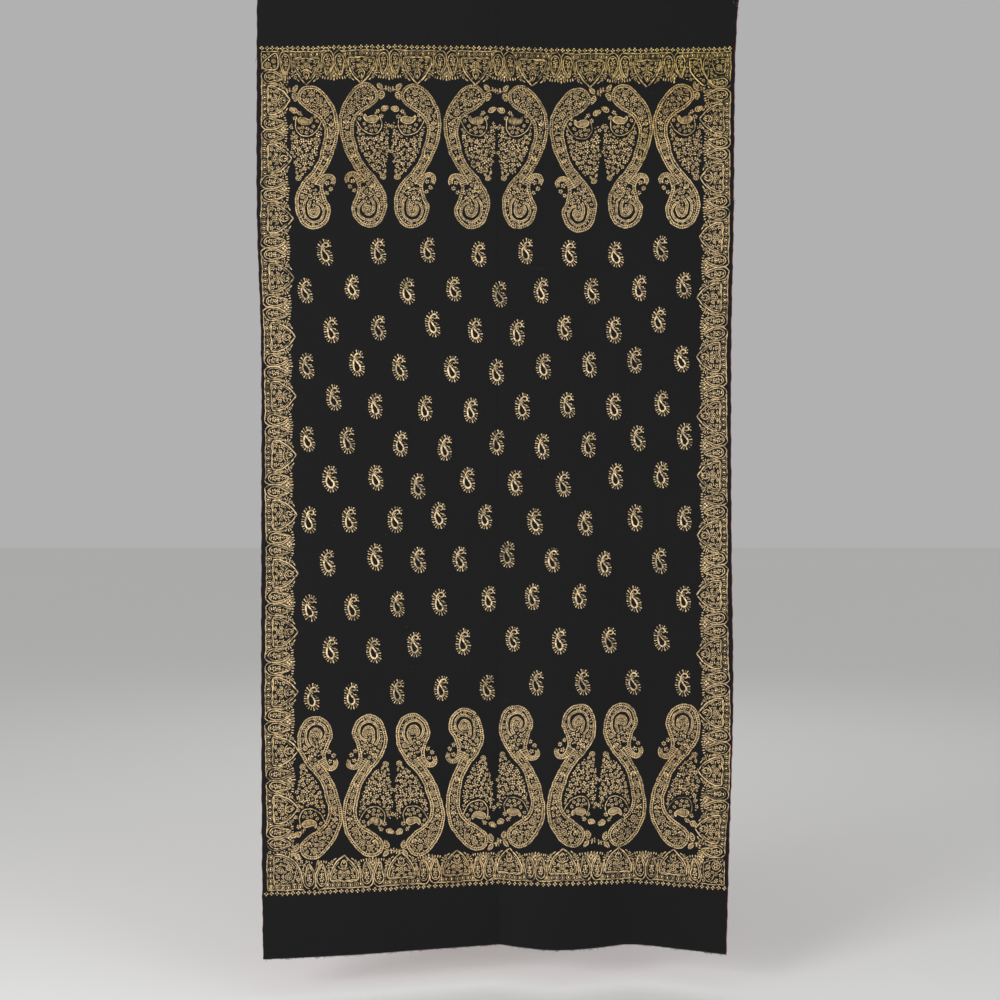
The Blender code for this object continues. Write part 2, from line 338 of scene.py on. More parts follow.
def leaf(base, tip, width, vein=True):
    """A pointed leaf: two bowed edges and a vein, and side stitches where it is broad."""
    base, tip = np.asarray(base, float), np.asarray(tip, float)
    side = np.array((base[1] - tip[1], tip[0] - base[0]))
    side *= width / 2 / np.linalg.norm(side)
    middle = base + (tip - base) * 0.42
    lines = curve((base, middle + side, tip), FINE) + curve((base, middle - side, tip), FINE)
    if width > BROAD_LEAF:
        for share in (0.1, 0.3, 0.5, 0.7):
            root, end = base + (tip - base) * share, base + (tip - base) * (share + 0.16)
            reach = 1.1 - abs(share - 0.32)
            lines += oval(root, end + side * reach, 2.2, SATIN_HIGHLIGHT) + oval(root, end - side * reach, 2.2, SATIN_HIGHLIGHT)
        return lines
    return lines + (oval(base, base + (tip - base) * 0.75, width * 0.3, SATIN_HIGHLIGHT) if vein else [])


def ladder(outer, inner, pitch=4.6, rung=1.9, shade=1.0):
    """Two lines side by side, given point for point, with rungs between them."""
    run = np.concatenate(([0.0], np.cumsum(np.linalg.norm(np.diff(outer, axis=0), axis=1))))
    rungs = []
    for place in np.arange(pitch / 2, run[-1], pitch):
        top, foot = ([np.interp(place, run, edge[:, k]) for k in (0, 1)] for edge in (outer, inner))
        rungs += line((top, foot), rung, 1.0, shade * rng.uniform(0.7, 1.1))
    return line(outer, CORD, 1.0, shade) + line(inner, CORD, 1.0, shade) + rungs


def sprig(centre, radius, turn):
    """A leaf between two fat seeds."""
    centre = np.asarray(centre)
    ahead = radius * np.array((math.cos(turn), math.sin(turn)))
    aside = np.array((-ahead[1], ahead[0]))
    lines = leaf(centre - ahead, centre + ahead, radius * 0.95)
    for side in (aside, -aside):
        lines += oval(centre - ahead * 0.6 + side * 0.5, centre + ahead * 0.35 + side * 0.9, 3.2, SATIN_HIGHLIGHT)
    return lines


def moved(lines, where):
    """The lines with their points put where a function takes them."""
    return [stitch._replace(points=where(stitch.points)) for stitch in lines]


def mirrored(lines):
    """The lines, and the same on the other side of the first axis."""
    return lines + moved(lines, lambda points: points * (-1, 1))


LARGEST_FLORET = 5.0


def mixed(places):
    """Rosettes, and florets where they are small, from rows of x, y and radius."""
    lines = []
    for i, (x, y, radius) in enumerate(places):
        if radius > LARGEST_FLORET:
            lines += rosette((x, y), radius, 6 + i % 3, 0.5 * i)
        else:
            lines += floret((x, y), radius, 5 + i % 2, 0.7 * i)
    return lines


def depth_inside(points, outline):
    """How far points lie inside a closed outline, and less than nothing outside it."""
    start, end = outline, np.roll(outline, -1, axis=0)
    edge = end - start
    away = points[:, None] - start
    share = np.clip((away * edge).sum(-1) / np.maximum((edge**2).sum(-1), 1e-9), 0.0, 1.0)
    nearest = np.linalg.norm(away - share[..., None] * edge, axis=-1).min(axis=1)
    level = points[:, 1, None]
    crosses = (start[:, 1] > level) != (end[:, 1] > level)
    rise = np.where(edge[:, 1] == 0.0, 1.0, edge[:, 1])
    meets = start[:, 0] + (level - start[:, 1]) / rise * edge[:, 0]
    inside = (crosses & (points[:, 0, None] < meets)).sum(axis=1) % 2 == 1
    return np.where(inside, nearest, -nearest)


# Room between packed motifs and the lines round them: the usual, and where the ground is dense
KEEP_OFF = 1.8
CLOSE_OFF = 1.2
TREE_STEP = 2.0
# Places tried for motifs of one size: how far apart they are and how far each strays, in radii
TRIED_PITCH = 1.1
TRIED_SCATTER = 0.6


def tree_of(lines):
    """A tree of points close together along lines."""
    points = []
    for stitch in lines:
        for a, b in zip(stitch.points, stitch.points[1:]):
            count = 1 + int(math.dist(a, b) / TREE_STEP)
            points += [a + (b - a) * (i + 0.5) / count for i in range(count)]
    tree = KDTree(len(points))
    for i, (x, y) in enumerate(points):
        tree.insert((x, y, 0.0), i)
    tree.balance()
    return tree


def packed(outline, lines, radii, inset=0.0, air=0.5, off=KEEP_OFF):
    """Round places inside an outline, largest first, clear of each other and of lines."""
    tree = tree_of(lines)
    low, high = outline.min(axis=0), outline.max(axis=0)
    places = np.empty((0, 3))
    for radius in radii:
        columns, rows = (np.arange(a, b, radius * TRIED_PITCH) for a, b in zip(low, high))
        spots = np.stack(np.meshgrid(columns, rows), axis=-1).reshape(-1, 2)
        scatter = rng.uniform(-TRIED_SCATTER, TRIED_SCATTER, spots.shape)
        spots = rng.permutation(spots + scatter * radius)
        spots = spots[depth_inside(spots, outline) > radius + inset]
        for x, y in spots:
            if tree.find((x, y, 0.0))[2] < radius + off:
                continue
            if (np.hypot(places[:, 0] - x, places[:, 1] - y) > places[:, 2] + radius + air).all():
                places = np.vstack((places, (x, y, radius)))
    return places


# Largest radius and width of a seed stitch, and how far a stem reaches from floret to floret
SEED_SIZE = 2.6
WIDEST_SEED = 2.6
LINK = 14.0


def motif(x, y, radius):
    """A floret with a random turn, or for a small radius one seed stitch."""
    turn = rng.uniform(0.0, 2 * math.pi)
    if radius > SEED_SIZE:
        return floret((x, y), radius, rng.integers(4, 7), turn)
    reach = radius * np.array((math.cos(turn), math.sin(turn)))
    return oval((x, y) - reach, (x, y) + reach, min(radius * 1.5, WIDEST_SEED), rng.uniform(0.7, 1.35))


def fill(outline, lines, florets, seeds, inset=0.0, air=0.9, off=KEEP_OFF):
    """Motifs packed into what lines leave free of an outline, with stems between the florets."""
    outline = np.asarray(outline, float)
    added = []
    places = packed(outline, lines, florets, inset, air, off)
    for i, (x, y, radius) in enumerate(places):
        added += motif(x, y, radius)
        gaps = np.hypot(places[:i, 0] - x, places[:i, 1] - y)
        if i and gaps.min() < LINK:
            other = places[gaps.argmin(), :2]
            bend = (other + (x, y)) / 2 + rng.normal(0.0, 0.8, 2)
            added += line((other, bend, (x, y)), FINE, shade=DIM)
    for place in packed(outline, lines + added, seeds, inset, off=off):
        added += motif(*place)
    return added


# Border unit, in (along, in): along from the arch's middle line, in from the outer rule.
UNIT_HALF = 60.0
BEAD_ROW = 6.6
SECOND_RULE = 13.6
ARCH_TIP = 67.0
ARCH_SIDE = ((28.5, 15.0), (29.5, 26.5), (26.6, 35.6), (21.8, 45.0), (13.8, 55.4), (0.0, ARCH_TIP))
DROP_AWAY = 13.0
DROP_OUTLINE = (
    (0.0, 6.0), (6.0, 9.5), (9.4, 17.0), (9.2, 26.5), (5.0, 38.8), (-2.8, 51.0),
    (-4.9, 41.0), (-7.4, 29.5), (-9.4, 18.7), (-6.6, 10.5),
)
AXIS_SIDE = ((5.2, -0.8), (8.8, 2.8), (11.8, 7.4), (12.6, 16.0), (12.3, 29.0), (7.0, 42.0), (-0.5, 53.0))
ARCH_OUTSIDE = ((-1.5, 0.5), (-8.5, 4.5), (-13.0, 13.0), (-12.7, 25.0), (-8.4, 36.0), (-5.4, 48.0))
# Radii of the florets and seeds that are packed into a ground
SMALL_FLORETS = (3.5, 2.9)
SMALL_SEEDS = (2.4, 1.7)
# Beads of the row between the rules, and the fine rings round them
BEAD_SIZE = 4.8
RING_WIDTH = 1.2
UNIT_RING, TALL_RING, BLOCK_RING = 4.7, 4.4, 4.6
RING_SHADE = 0.8


def bead(centre):
    """A fat upright stitch."""
    centre = np.asarray(centre, float)
    reach = (0, BEAD_SIZE / 2)
    return oval(centre - reach, centre + reach, BEAD_SIZE * 0.8, SATIN_HIGHLIGHT)


def ringed(centre, radius, shade=1.0):
    """A bead in its ring."""
    return bead(centre) + ring(centre, radius, RING_WIDTH, shade)


def arch():
    """The pointed arch between rule and tip, with its rosette, bud and side flowers."""
    half = curve(ARCH_SIDE, BOLD)
    half += curve(((28.4, 15.6), (15.0, 16.4), (6.0, 15.6), (0.0, 13.8)), CORD)
    half += curve(((25.4, 18.2), (25.8, 27.0), (22.8, 35.2), (18.2, 43.8), (10.6, 53.0)), FINE)
    half += leaf((6.5, 37.0), (12.6, 28.6), 5.0)
    half += leaf((3.0, 19.6), (12.6, 21.6), 4.6)
    half += curve(((0.0, 38.0), (8.0, 41.0), (12.5, 45.0)), CORD)
    half += floret((18.4, 36.2), 4.3) + floret((19.2, 22.8), 4.5)
    half += oval((14.6, 29.6), (19.8, 29.4), 2.6, SATIN_HIGHLIGHT)
    half += curve(((0.0, 39.6), (4.6, 43.8), (6.2, 48.5), (4.2, 53.6), (0.0, 58.6)), CORD)
    half += oval((1.8, 45.0), (4.2, 48.0), 2.0)
    lines = mirrored(half)
    lines += rosette((0.0, 29.3), 7.4)
    lines += oval((0.0, 43.6), (0.0, 46.6), 2.4, SATIN_HIGHLIGHT) + oval((0.0, 50.2), (0.0, 55.6), 3.0, SATIN_HIGHLIGHT)
    return lines


def drop():
    """A teardrop beside an arch, round end out. Its arch lies on the negative side."""
    lines = curve(DROP_OUTLINE, CORD, closed=True) + curve(AXIS_SIDE) + curve(ARCH_OUTSIDE, FINE)
    lines += oval((-3.0, 11.0), (3.2, 11.0), 3.0) + floret((0.0, 19.2), 5.8, 6)
    lines += leaf((0.0, 24.5), (-4.8, 31.0), 3.8, False) + leaf((0.8, 24.5), (5.0, 31.0), 3.8, False)
    lines += oval((0.0, 26.0), (-0.4, 32.0), 2.8, SATIN_HIGHLIGHT) + floret((-0.8, 36.0), 3.0, 4)
    return lines + oval((-1.4, 40.4), (-2.0, 45.4), 2.4, SATIN_HIGHLIGHT)


FLANK_STITCHES = (
    ((29.8, 44.0), (34.6, 40.6)), ((29.2, 46.6), (34.8, 48.2)), ((27.8, 49.6), (33.0, 53.6)),
    ((28.2, 44.0), (24.8, 42.4)), ((26.2, 50.0), (22.0, 48.4)),
)
WEDGE_STITCHES = (
    ((47.8, 53.0), (47.0, 58.6)), ((42.0, 53.0), (40.8, 58.2)), ((37.4, 52.0), (35.8, 57.4)),
)


def flank():
    """A leafy spray up an arch's side, whose tips stand past the border's ragged edge."""
    lines = curve(((33.6, 17.5), (33.4, 28.0), (30.6, 41.0), (25.6, 52.5)), FINE, shade=DIM)
    lines += leaf((33.2, 17.6), (36.2, 26.6), 4.6, False) + leaf((32.8, 27.6), (32.4, 39.6), 4.6)
    lines += ovals(FLANK_STITCHES, 2.5)
    return lines + floret((24.5, 54.6), 3.4) + oval((21.6, 57.0), (15.5, 61.4), 2.6, SATIN_HIGHLIGHT)


def wedge():
    """Half of the spray between two teardrops' points, on the near side of their axis."""
    lines = curve(((60.0, 31.0), (55.4, 42.0), (50.2, 56.0)), FINE)
    lines += curve(((60.0, 38.0), (57.4, 46.0), (57.2, 54.0)), FINE, shade=DIM)
    return lines + leaf((54.6, 50.6), (52.8, 60.0), 4.0, False) + ovals(WEDGE_STITCHES, 2.7, SATIN_HIGHLIGHT)


def wedge_heart():
    """The lozenges on the axis between two teardrops."""
    return floret((UNIT_HALF, 49.4), 5.6, 4, 0.0) + oval((UNIT_HALF, 55.6), (UNIT_HALF, 61.0), 3.2, SATIN_HIGHLIGHT)


# The outer rule, and how the second one strays from its place
OUTER_RULE = ((0.0, 0.0), (18.0, 0.3), (38.0, 0.2), (52.2, -0.8))
SECOND_STRAYS = ((0.0, 0.0), (8.0, 0.9), (16.0, -0.3), (27.0, 0.5))
# Half of a unit's ground
SIDE_ROOM = ((0.0, SECOND_RULE), (60.0, SECOND_RULE), (60.0, 56.0), (30.0, 56.0), (0.0, ARCH_TIP))


def unit_side(beads):
    """Half a border unit, from the arch's middle line to the axis of its teardrops."""
    lines = curve(OUTER_RULE) + curve(np.array(SECOND_STRAYS) + (0.0, SECOND_RULE))
    for place in beads:
        lines += ringed((place, BEAD_ROW), UNIT_RING, RING_SHADE)
    lines += flank() + wedge()
    return lines + moved(drop(), lambda points: points + (UNIT_HALF - DROP_AWAY, 0.0))


# Beads of half a unit along the end borders and the side borders
END_BEADS = (0.0, 12.2, 24.4, 34.2)
SIDE_BEADS = (6.1, 18.3, 30.5)


def border_unit(beads):
    """One arch between two teardrops, with its rules, and florets in its ground."""
    lines = mirrored(unit_side(beads)) + arch() + wedge_heart()
    outline = np.array((*SIDE_ROOM, *((-x, y) for x, y in SIDE_ROOM[-2:0:-1])))
    return lines + fill(outline, lines, SMALL_FLORETS, SMALL_SEEDS)


# Where the row of lozenges lies, outside the rule
LOZENGE_ROW = -6.6


def lozenges(counts, places, size, shade):
    """A row of four-petalled lozenges outside the rule: how many are worked as far as each place."""
    lines = []
    for place in np.interp(np.arange(counts[-1] + 1), counts, places):
        lines += floret((place, LOZENGE_ROW), size, 4, math.pi / 2, shade)
    return lines


# Corners, in (in from the side rule, in from the end rule)
CORNER_DROP = (
    (30.2, 3.6), (34.8, 17.5), (31.4, 35.6), (19.3, 38.6), (4.8, 36.8), (0.6, 29.6), (4.8, 21.1),
    (15.7, 12.0),
)
DROP_MOTIFS = ((12.0, 28.4, 7.0), (25.3, 20.0, 5.6), (26.0, 31.5, 3.6), (7.2, 10.3, 5.0))
WIDE_DROP = (
    (41.8, 44.0), (19.3, 50.4), (5.4, 38.6), (8.6, 29.0), (21.5, 19.3), (25.7, 10.7), (34.3, 5.4),
    (41.8, 12.9), (44.0, 27.9),
)
WIDE_DROP_MOTIFS = (
    (18.2, 38.6, 9.4), (34.9, 20.4, 6.4), (34.6, 36.0, 5.2), (17.2, 20.4, 4.0), (7.0, 19.3, 4.8),
    (17.2, 7.5, 4.8), (6.4, 6.4, 4.0),
)
BLOCK_ARC = ((14.2, 73.6), (35.8, 71.2), (55.0, 60.3), (67.2, 44.7), (73.2, 24.2), (74.4, 12.1))
BLOCK_MOTIFS = (
    (44.9, 45.8, 6.5), (28.0, 41.0, 7.0), (44.9, 27.1, 8.0), (35.8, 60.3, 4.5), (59.9, 34.4, 4.5),
    (21.3, 61.5, 4.6), (63.6, 20.5, 4.6), (22.6, 27.7, 4.2), (31.0, 18.2, 4.2),
)
TALL_ARC = ((89.0, 13.0), (85.4, 38.0), (76.3, 52.0), (61.6, 66.5), (52.4, 69.5))
INNER_ARC = ((63.7, 11.0), (61.6, 32.2), (50.0, 55.7), (28.4, 72.0), (6.9, 72.4))
NARROW_DROP = (
    (52.5, 10.5), (48.2, 17.0), (46.0, 28.0), (47.4, 42.0), (50.4, 53.0), (55.6, 42.0), (58.4, 28.0),
    (57.0, 17.0),
)
QUARTER = ((38.3, 14.5), (38.3, 27.1), (34.3, 37.4), (27.3, 43.2), (18.3, 44.5), (11.8, 44.0))
TALL_MOTIFS = (
    (76.0, 22.6, 5.4), (74.6, 38.0, 4.4), (68.4, 48.0, 3.8), (57.5, 59.0, 4.0), (47.0, 66.0, 3.2),
    (52.4, 22.0, 3.8), (51.8, 33.5, 3.2), (25.4, 31.6, 6.8), (29.0, 19.8, 3.6), (18.0, 20.6, 3.8),
    (17.0, 38.0, 3.4), (92.6, 38.3, 3.4), (94.4, 47.3, 3.2), (84.3, 56.8, 3.6), (76.0, 64.0, 2.8),
)
# The quarter round block's inner corner, how far its rules run, and the florets of its ground
BLOCK_CORNER, BLOCK_REACH = (14.0, 11.0), 76.0
BLOCK_FLORETS = (3.6, 2.9)
# From bead to bead beside the tall block and beside the quarter round one
TALL_PITCH, BLOCK_PITCH = 10.6, 12.2
# How far the rules run beside the corners' drops, and beside the tall block along side and end
DROP_REACH, WIDE_DROP_REACH = 38.0, 50.0
TALL_REACH = (62.0, 112.0)


def rules(reach_side, reach_end):
    """Both outer rules of a corner, as far as each runs plain."""
    return straight((0.0, 0.0), (0.0, reach_side)) + straight((0.0, 0.0), (reach_end, 0.0))


def corner_drop(outline, motifs, reach):
    """The slanted teardrop that fills a corner."""
    edge = smooth(outline, closed=True)
    lines = line(edge, CORD, 1.0) + rules(reach, reach) + mixed(motifs)
    square = np.array(((1.0, 1.0), (reach, 1.0), (reach, reach), (1.0, reach)))
    return lines + fill(square, lines, SMALL_FLORETS, SMALL_SEEDS)


def corner_block():
    """The quarter round block that fills the left lower corner, with three rosettes."""
    inner = np.array(BLOCK_ARC) * 0.93 + (1.4, 1.2)
    lines = curve(BLOCK_ARC, BOLD) + curve(inner, FINE) + rules(BLOCK_REACH, BLOCK_REACH)
    lines += mixed(BLOCK_MOTIFS) + straight(BLOCK_CORNER, (14.0, 73.0)) + straight(BLOCK_CORNER, (74.0, 11.0))
    for place in np.arange(5.0, BLOCK_REACH, BLOCK_PITCH) + 2.0:
        lines += bead((place, 5.4)) + bead((7.0, place))
        for centre in ((place, 5.4), (7.0, place)):
            lines += ring(centre, BLOCK_RING, RING_WIDTH)
    outline = np.array((BLOCK_CORNER, *reversed(BLOCK_ARC)))
    return lines + fill(outline, lines, BLOCK_FLORETS, SMALL_SEEDS, 1.0, off=CLOSE_OFF)


def tall_block():
    """The block in the right upper corner: two arcs round a narrow drop and a quarter."""
    lines = rules(*TALL_REACH) + curve(TALL_ARC, BOLD) + curve(INNER_ARC) + curve(NARROW_DROP, closed=True)
    lines += curve(QUARTER) + curve(((12.0, 14.4), (12.2, 30.0), (11.8, 44.0)))
    lines += curve(((12.0, 14.4), (25.0, 14.0), (38.3, 14.5)))
    lines += curve(((64.0, 14.0), (76.0, 13.2), (89.0, 13.6))) + mixed(TALL_MOTIFS)
    for place in np.arange(7.0, 104.0, TALL_PITCH):
        lines += ringed((place, 6.8), TALL_RING)
    for place in np.arange(17.6, 60.0, TALL_PITCH):
        lines += ringed((6.0, place), TALL_RING)
    return lines


# Large boteh, in (inward, along): inward from its outermost side, along from its head's top.
# The edge runs from the neck's slit up the outer side, round the head and round the curl.
BOTEH_EDGE = (
    (56.0, 211.0), (39.6, 190.0), (20.3, 158.8), (7.4, 126.0), (-0.3, 90.0), (2.3, 57.2), (16.3, 26.0),
    (38.0, 1.4), (60.5, -3.9), (78.1, 7.9), (82.2, 29.3), (66.9, 47.3), (46.0, 61.2), (34.0, 76.8),
    (29.9, 99.8), (37.2, 129.3), (46.0, 157.3), (65.3, 185.1), (81.4, 203.1), (99.1, 235.9),
    (100.7, 268.6), (87.8, 298.0), (62.0, 307.1), (38.0, 293.2), (27.5, 265.3), (34.8, 244.0),
    (40.4, 222.7), (39.6, 214.6),
)
# Its length, where it is widest, and the middle of its curled tail
BOTEH_LENGTH = 307.7
WIDEST_ALONG = 83.0
CURL_ALONG = 262.0
CURL_INWARD = 63.0
# The worked edge: how far inside the outline it starts, how deep it is, and the room for the fill
EDGE_INSET = 0.9
LADDER_DEPTH = 5.2
EDGE_STEP = 3.0
FILL_INSET = 7.2

# The worked rows outside and inside the curl's slit: how deep they are, and their rungs
OUTER_ROWS = 4.6
INNER_ROWS = 3.4
ROW_PITCH = 3.8
ROW_RUNG = 2.0
ROW_SHADE = 0.8
# Rows of inward, along and half width
CURL_GAP = (
    (71.8, 241.6, 1.0), (77.9, 252.3, 1.9), (79.5, 265.3, 2.4), (76.6, 277.6, 2.8), (66.9, 285.3, 3.0),
    (55.7, 283.7, 3.4), (48.6, 275.2, 3.1), (47.2, 265.3, 2.1), (51.4, 257.0, 1.3), (58.9, 254.2, 0.9),
)
CROSIER = (
    (48.5, 214.5, 7.4), (44.0, 205.0, 6.4), (38.5, 197.5, 5.2), (30.0, 192.4, 4.5), (21.4, 194.8, 4.3),
    (17.6, 202.6, 4.0), (20.0, 211.0, 3.2),
)
# Rows of inward, along and radius
BODY_MOTIFS = (
    (37.2, 28.5, 7.2), (52.5, 15.3, 6.8), (25.1, 55.5, 8.0), (17.9, 106.3, 6.4), (23.5, 130.9, 7.0),
    (43.0, 174.4, 6.6), (58.0, 194.6, 6.8), (84.6, 236.6, 5.6), (90.4, 257.6, 3.6), (63.6, 266.4, 7.2),
    (37.2, 262.0, 3.0),
    (14.7, 65.4, 4.0), (42.8, 49.8, 4.0), (25.1, 39.1, 4.0), (50.8, 39.1, 4.2), (66.9, 12.1, 4.0),
    (47.4, 229.0, 4.4), (58.4, 231.0, 4.4), (66.0, 297.0, 3.4), (62.5, 213.0, 3.8), (61.5, 204.0, 3.2),
)
# Rows of inward, along, radius and turn
BODY_SPRIGS = (
    (65.3, 28.5, 6.4, -1.9), (14.7, 80.1, 5.8, -1.5), (31.0, 153.4, 6.6, -2.0), (72.6, 216.0, 6.8, -2.2),
)
CROSIER_MOTIFS = ((30.6, 207.6, 4.9), (24.3, 220.0, 5.0), (33.2, 228.8, 4.6))
BODY_FLORETS = (4.4, 3.5, 2.9)
BODY_SEEDS = (2.4, 1.7)
# Shade of the edge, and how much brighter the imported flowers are
EDGE_SHADE = 0.88
BODY_LIGHT = 1.18


def sideways(points):
    """The direction square to a run of points, at each of them."""
    heading = np.gradient(points, axis=0)
    heading /= np.linalg.norm(heading, axis=1, keepdims=True)
    return np.column_stack((-heading[:, 1], heading[:, 0]))


def strip(table):
    """Middle line, side direction and half width, from rows of two places and half a width."""
    rows = smooth(table)
    return rows[:, :2], sideways(rows[:, :2]), rows[:, 2:]


def boteh_body():
    """The body, from its head to the curled tail: a double edge round packed flowers."""
    edge = smooth(BOTEH_EDGE, EDGE_STEP)
    inward = sideways(edge)
    lines = ladder(edge + inward * EDGE_INSET, edge + inward * (EDGE_INSET + LADDER_DEPTH), shade=EDGE_SHADE)
    middle, side, half = strip(CURL_GAP)
    for way, depth in ((1, OUTER_ROWS), (-1, INNER_ROWS)):
        near, far = (middle + side * way * (half + away) for away in (EDGE_INSET, EDGE_INSET + depth))
        lines += ladder(near, far, ROW_PITCH, ROW_RUNG, ROW_SHADE)
    lines += mixed(BODY_MOTIFS)
    for *place, radius, turn in BODY_SPRIGS:
        lines += sprig(place, radius, turn)
    dark = line(middle, FINE)
    filled = fill(edge, lines + dark, BODY_FLORETS, BODY_SEEDS, FILL_INSET, off=CLOSE_OFF)
    return lines + [stitch._replace(shade=stitch.shade * BODY_LIGHT) for stitch in filled]


def crosier():
    """The small crook that leaves the neck on its outer side, and the flowers under it."""
    middle, side, half = strip(CROSIER)
    lines = ladder(middle + side * half, middle - side * half) + line(middle, FINE, shade=DIM)
    return lines + mixed(CROSIER_MOTIFS)


SPRAY_STEM = (
    (34.5, 74.0), (45.2, 92.8), (56.5, 102.6), (69.3, 105.9), (79.8, 104.0), (86.9, 96.0),
    (89.8, 86.0), (88.6, 76.0), (85.0, 64.0),
)
SMALL_BOTEH = (
    (54.2, 64.3), (59.4, 69.8), (67.8, 66.4), (78.3, 66.0), (83.6, 73.6), (76.2, 80.0),
    (63.6, 80.6), (54.6, 75.0), (52.0, 68.0),
)
OVER_STEM = (
    (43.8, 74.0, 4.0), (52.6, 84.6, 4.0), (57.0, 94.4, 4.0), (65.2, 89.6, 4.2), (74.4, 87.0, 4.0),
    (82.0, 88.4, 3.6), (67.6, 98.4, 4.0), (77.4, 96.8, 4.0), (46.6, 64.2, 3.6),
)
SPRAY_START = (
    (38.0, 82.0), (45.5, 97.0), (56.0, 108.5), (70.0, 112.0), (83.0, 107.0), (92.0, 97.0), (93.5, 84.0),
)
# How far the sprays end from the axis, and then where they end beside the body
SPRAY_AXIS = (
    (5.0, 74.0), (2.2, 86.0), (5.0, 94.0), (1.4, 104.0), (0.8, 122.0), (1.0, 142.0), (5.0, 151.0),
    (1.6, 160.0), (5.5, 172.0), (9.0, 188.0),
)
SPRAY_BODY = (
    (79.0, 190.0), (71.0, 183.5), (60.4, 172.0), (52.4, 158.0), (46.2, 146.0), (42.0, 131.0), (37.2, 115.0),
    (34.7, 100.0), (34.0, 86.0),
)
# Where florets join the sprays of a pair: inward from the axis, along and radius
SPRAY_JOINS = ((3.8, 88.0, 4.4), (3.4, 142.0, 4.4), (7.4, 149.5, 3.4))
HEAD_MOTIFS = ((80.7, 56.2, 4.6), (88.7, 67.5, 5.0), (76.6, 60.6, 2.8))
# Leaves beside the axis: how far off it and how far along each starts and ends, and its width
LOWER_LEAVES = ((19.5, 54.0, 2.5, 46.5, 12.0), (15.0, 50.8, 7.0, 47.6, 5.0))
UPPER_LEAVES = ((18.0, 193.0, 24.0, 186.0, 4.6), (11.0, 190.0, 8.6, 181.0, 4.6))
# How far stems, motifs and the ground beside the body keep off the axis
STEM_GAP, MOTIF_GAP, GROUND_GAP = 5.0, 7.0, 12.0
SPRAY_FLORETS = (4.9, 4.1, 3.4, 2.8)
SPRAY_AIR = 0.2


def hatched(outline, pitch=2.7, width=1.8):
    """Level stitches side by side across a rounded outline."""
    edge = smooth(outline, 1.5, closed=True)
    lines = []
    for level in np.arange(edge[:, 0].min() + pitch, edge[:, 0].max() - pitch / 2, pitch):
        near = edge[np.abs(edge[:, 0] - level) < pitch / 2, 1]
        lines += oval((level, near.min() + 0.8), (level, near.max() - 0.8), width, SATIN_HIGHLIGHT)
    return lines


def axis_leaves(reach, rows):
    """Leaves at their places beside the axis, which lies at the reach."""
    lines = []
    for away, along, tip_away, tip_along, width in rows:
        lines += leaf((reach - away, along), (reach - tip_away, tip_along), width)
    return lines


def spray(reach):
    """The sprays of florets between the boteh's body and the axis it shares with its pair."""
    def held(points, gap=STEM_GAP):
        """The points, none nearer to the axis than a gap."""
        points = np.array(points)
        points[:, 0] = np.minimum(points[:, 0], reach - gap)
        return points

    lines = curve(held(SPRAY_STEM), CORD) + curve(SMALL_BOTEH, CORD, closed=True) + hatched(SMALL_BOTEH)
    lines += axis_leaves(reach, LOWER_LEAVES) + mixed(held(HEAD_MOTIFS, MOTIF_GAP)) + mixed(OVER_STEM)
    lines += mixed([(reach - away, along, radius) for away, along, radius in SPRAY_JOINS])
    lines += rosette((reach - 13.5, 197.3), 6.6, 5) + axis_leaves(reach, UPPER_LEAVES)
    axis_side = [(reach - away, along) for away, along in SPRAY_AXIS]
    outline = np.vstack((held(SPRAY_START), axis_side, held(SPRAY_BODY, GROUND_GAP)))
    return lines + fill(outline, lines, SPRAY_FLORETS, SMALL_SEEDS, air=SPRAY_AIR)


# The heads of a pair have room for a branch between them from this reach on
HEAD_BRANCH_REACH = 97.0
BRANCH_STITCHES = (
    ((97.0, 12.6), (99.0, 1.8)), ((100.6, 12.6), (96.6, 1.8)),
    ((103.0, 8.4), (104.4, 3.0)), ((103.0, 9.6), (104.4, 14.6)),
)


def head_branch(reach):
    """The leaf pair and crossed leaves between the heads of a pair."""
    lines = curve(((80.0, 15.0), (92.7, 9.5), (100.8, 7.9), (reach - 1.0, 9.0)), FINE)
    lines += leaf((91.0, 9.0), (80.0, -4.4), 9.6) + leaf((92.0, 13.0), (86.6, 32.0), 10.6)
    return lines + ovals(BRANCH_STITCHES, 2.4)


def boteh_lines(reach):
    """One large boteh with all that belongs to it, as far as the axis at its reach."""
    lines = boteh_body() + crosier() + spray(reach)
    return lines + (head_branch(reach) if reach > HEAD_BRANCH_REACH else [])


# Small boteh of the field: each stitch from the ring or the hook to its outer end, and its width
SPIKES = (
    ((0.4, -19.5), (-1.2, -26.0), 3.4), ((3.2, -19.5), (4.4, -25.0), 1.8), ((5.6, -19.0), (9.6, -23.4), 3.2),
    ((8.0, -16.5), (12.8, -18.4), 2.4), ((6.4, -13.0), (13.2, -11.0), 3.0), ((2.6, -4.0), (9.6, -1.4), 3.0),
    ((5.4, 2.4), (12.8, 0.8), 2.0), ((7.4, 7.0), (14.8, 6.8), 3.2), ((7.6, 10.6), (15.0, 12.6), 2.0),
    ((7.2, 13.4), (14.2, 18.6), 3.0), ((5.6, 16.0), (11.4, 23.4), 2.0), ((3.0, 17.6), (5.6, 26.2), 3.2),
    ((0.4, 18.2), (-1.2, 26.2), 2.2), ((-2.2, 17.2), (-6.8, 23.6), 3.0), ((-4.4, 14.8), (-10.2, 19.2), 2.0),
    ((-5.8, 11.6), (-13.0, 14.2), 3.2), ((-7.0, 8.0), (-14.8, 9.6), 2.0), ((-7.6, 4.4), (-15.4, 4.0), 3.2),
    ((-7.8, 0.4), (-15.6, -0.6), 1.8), ((-7.4, -3.4), (-14.4, -6.2), 3.2),
    ((-6.8, -7.6), (-15.4, -11.4), 2.0), ((-5.8, -10.8), (-11.6, -17.2), 3.6),
    ((-3.4, -15.0), (-8.0, -22.8), 2.2),
)
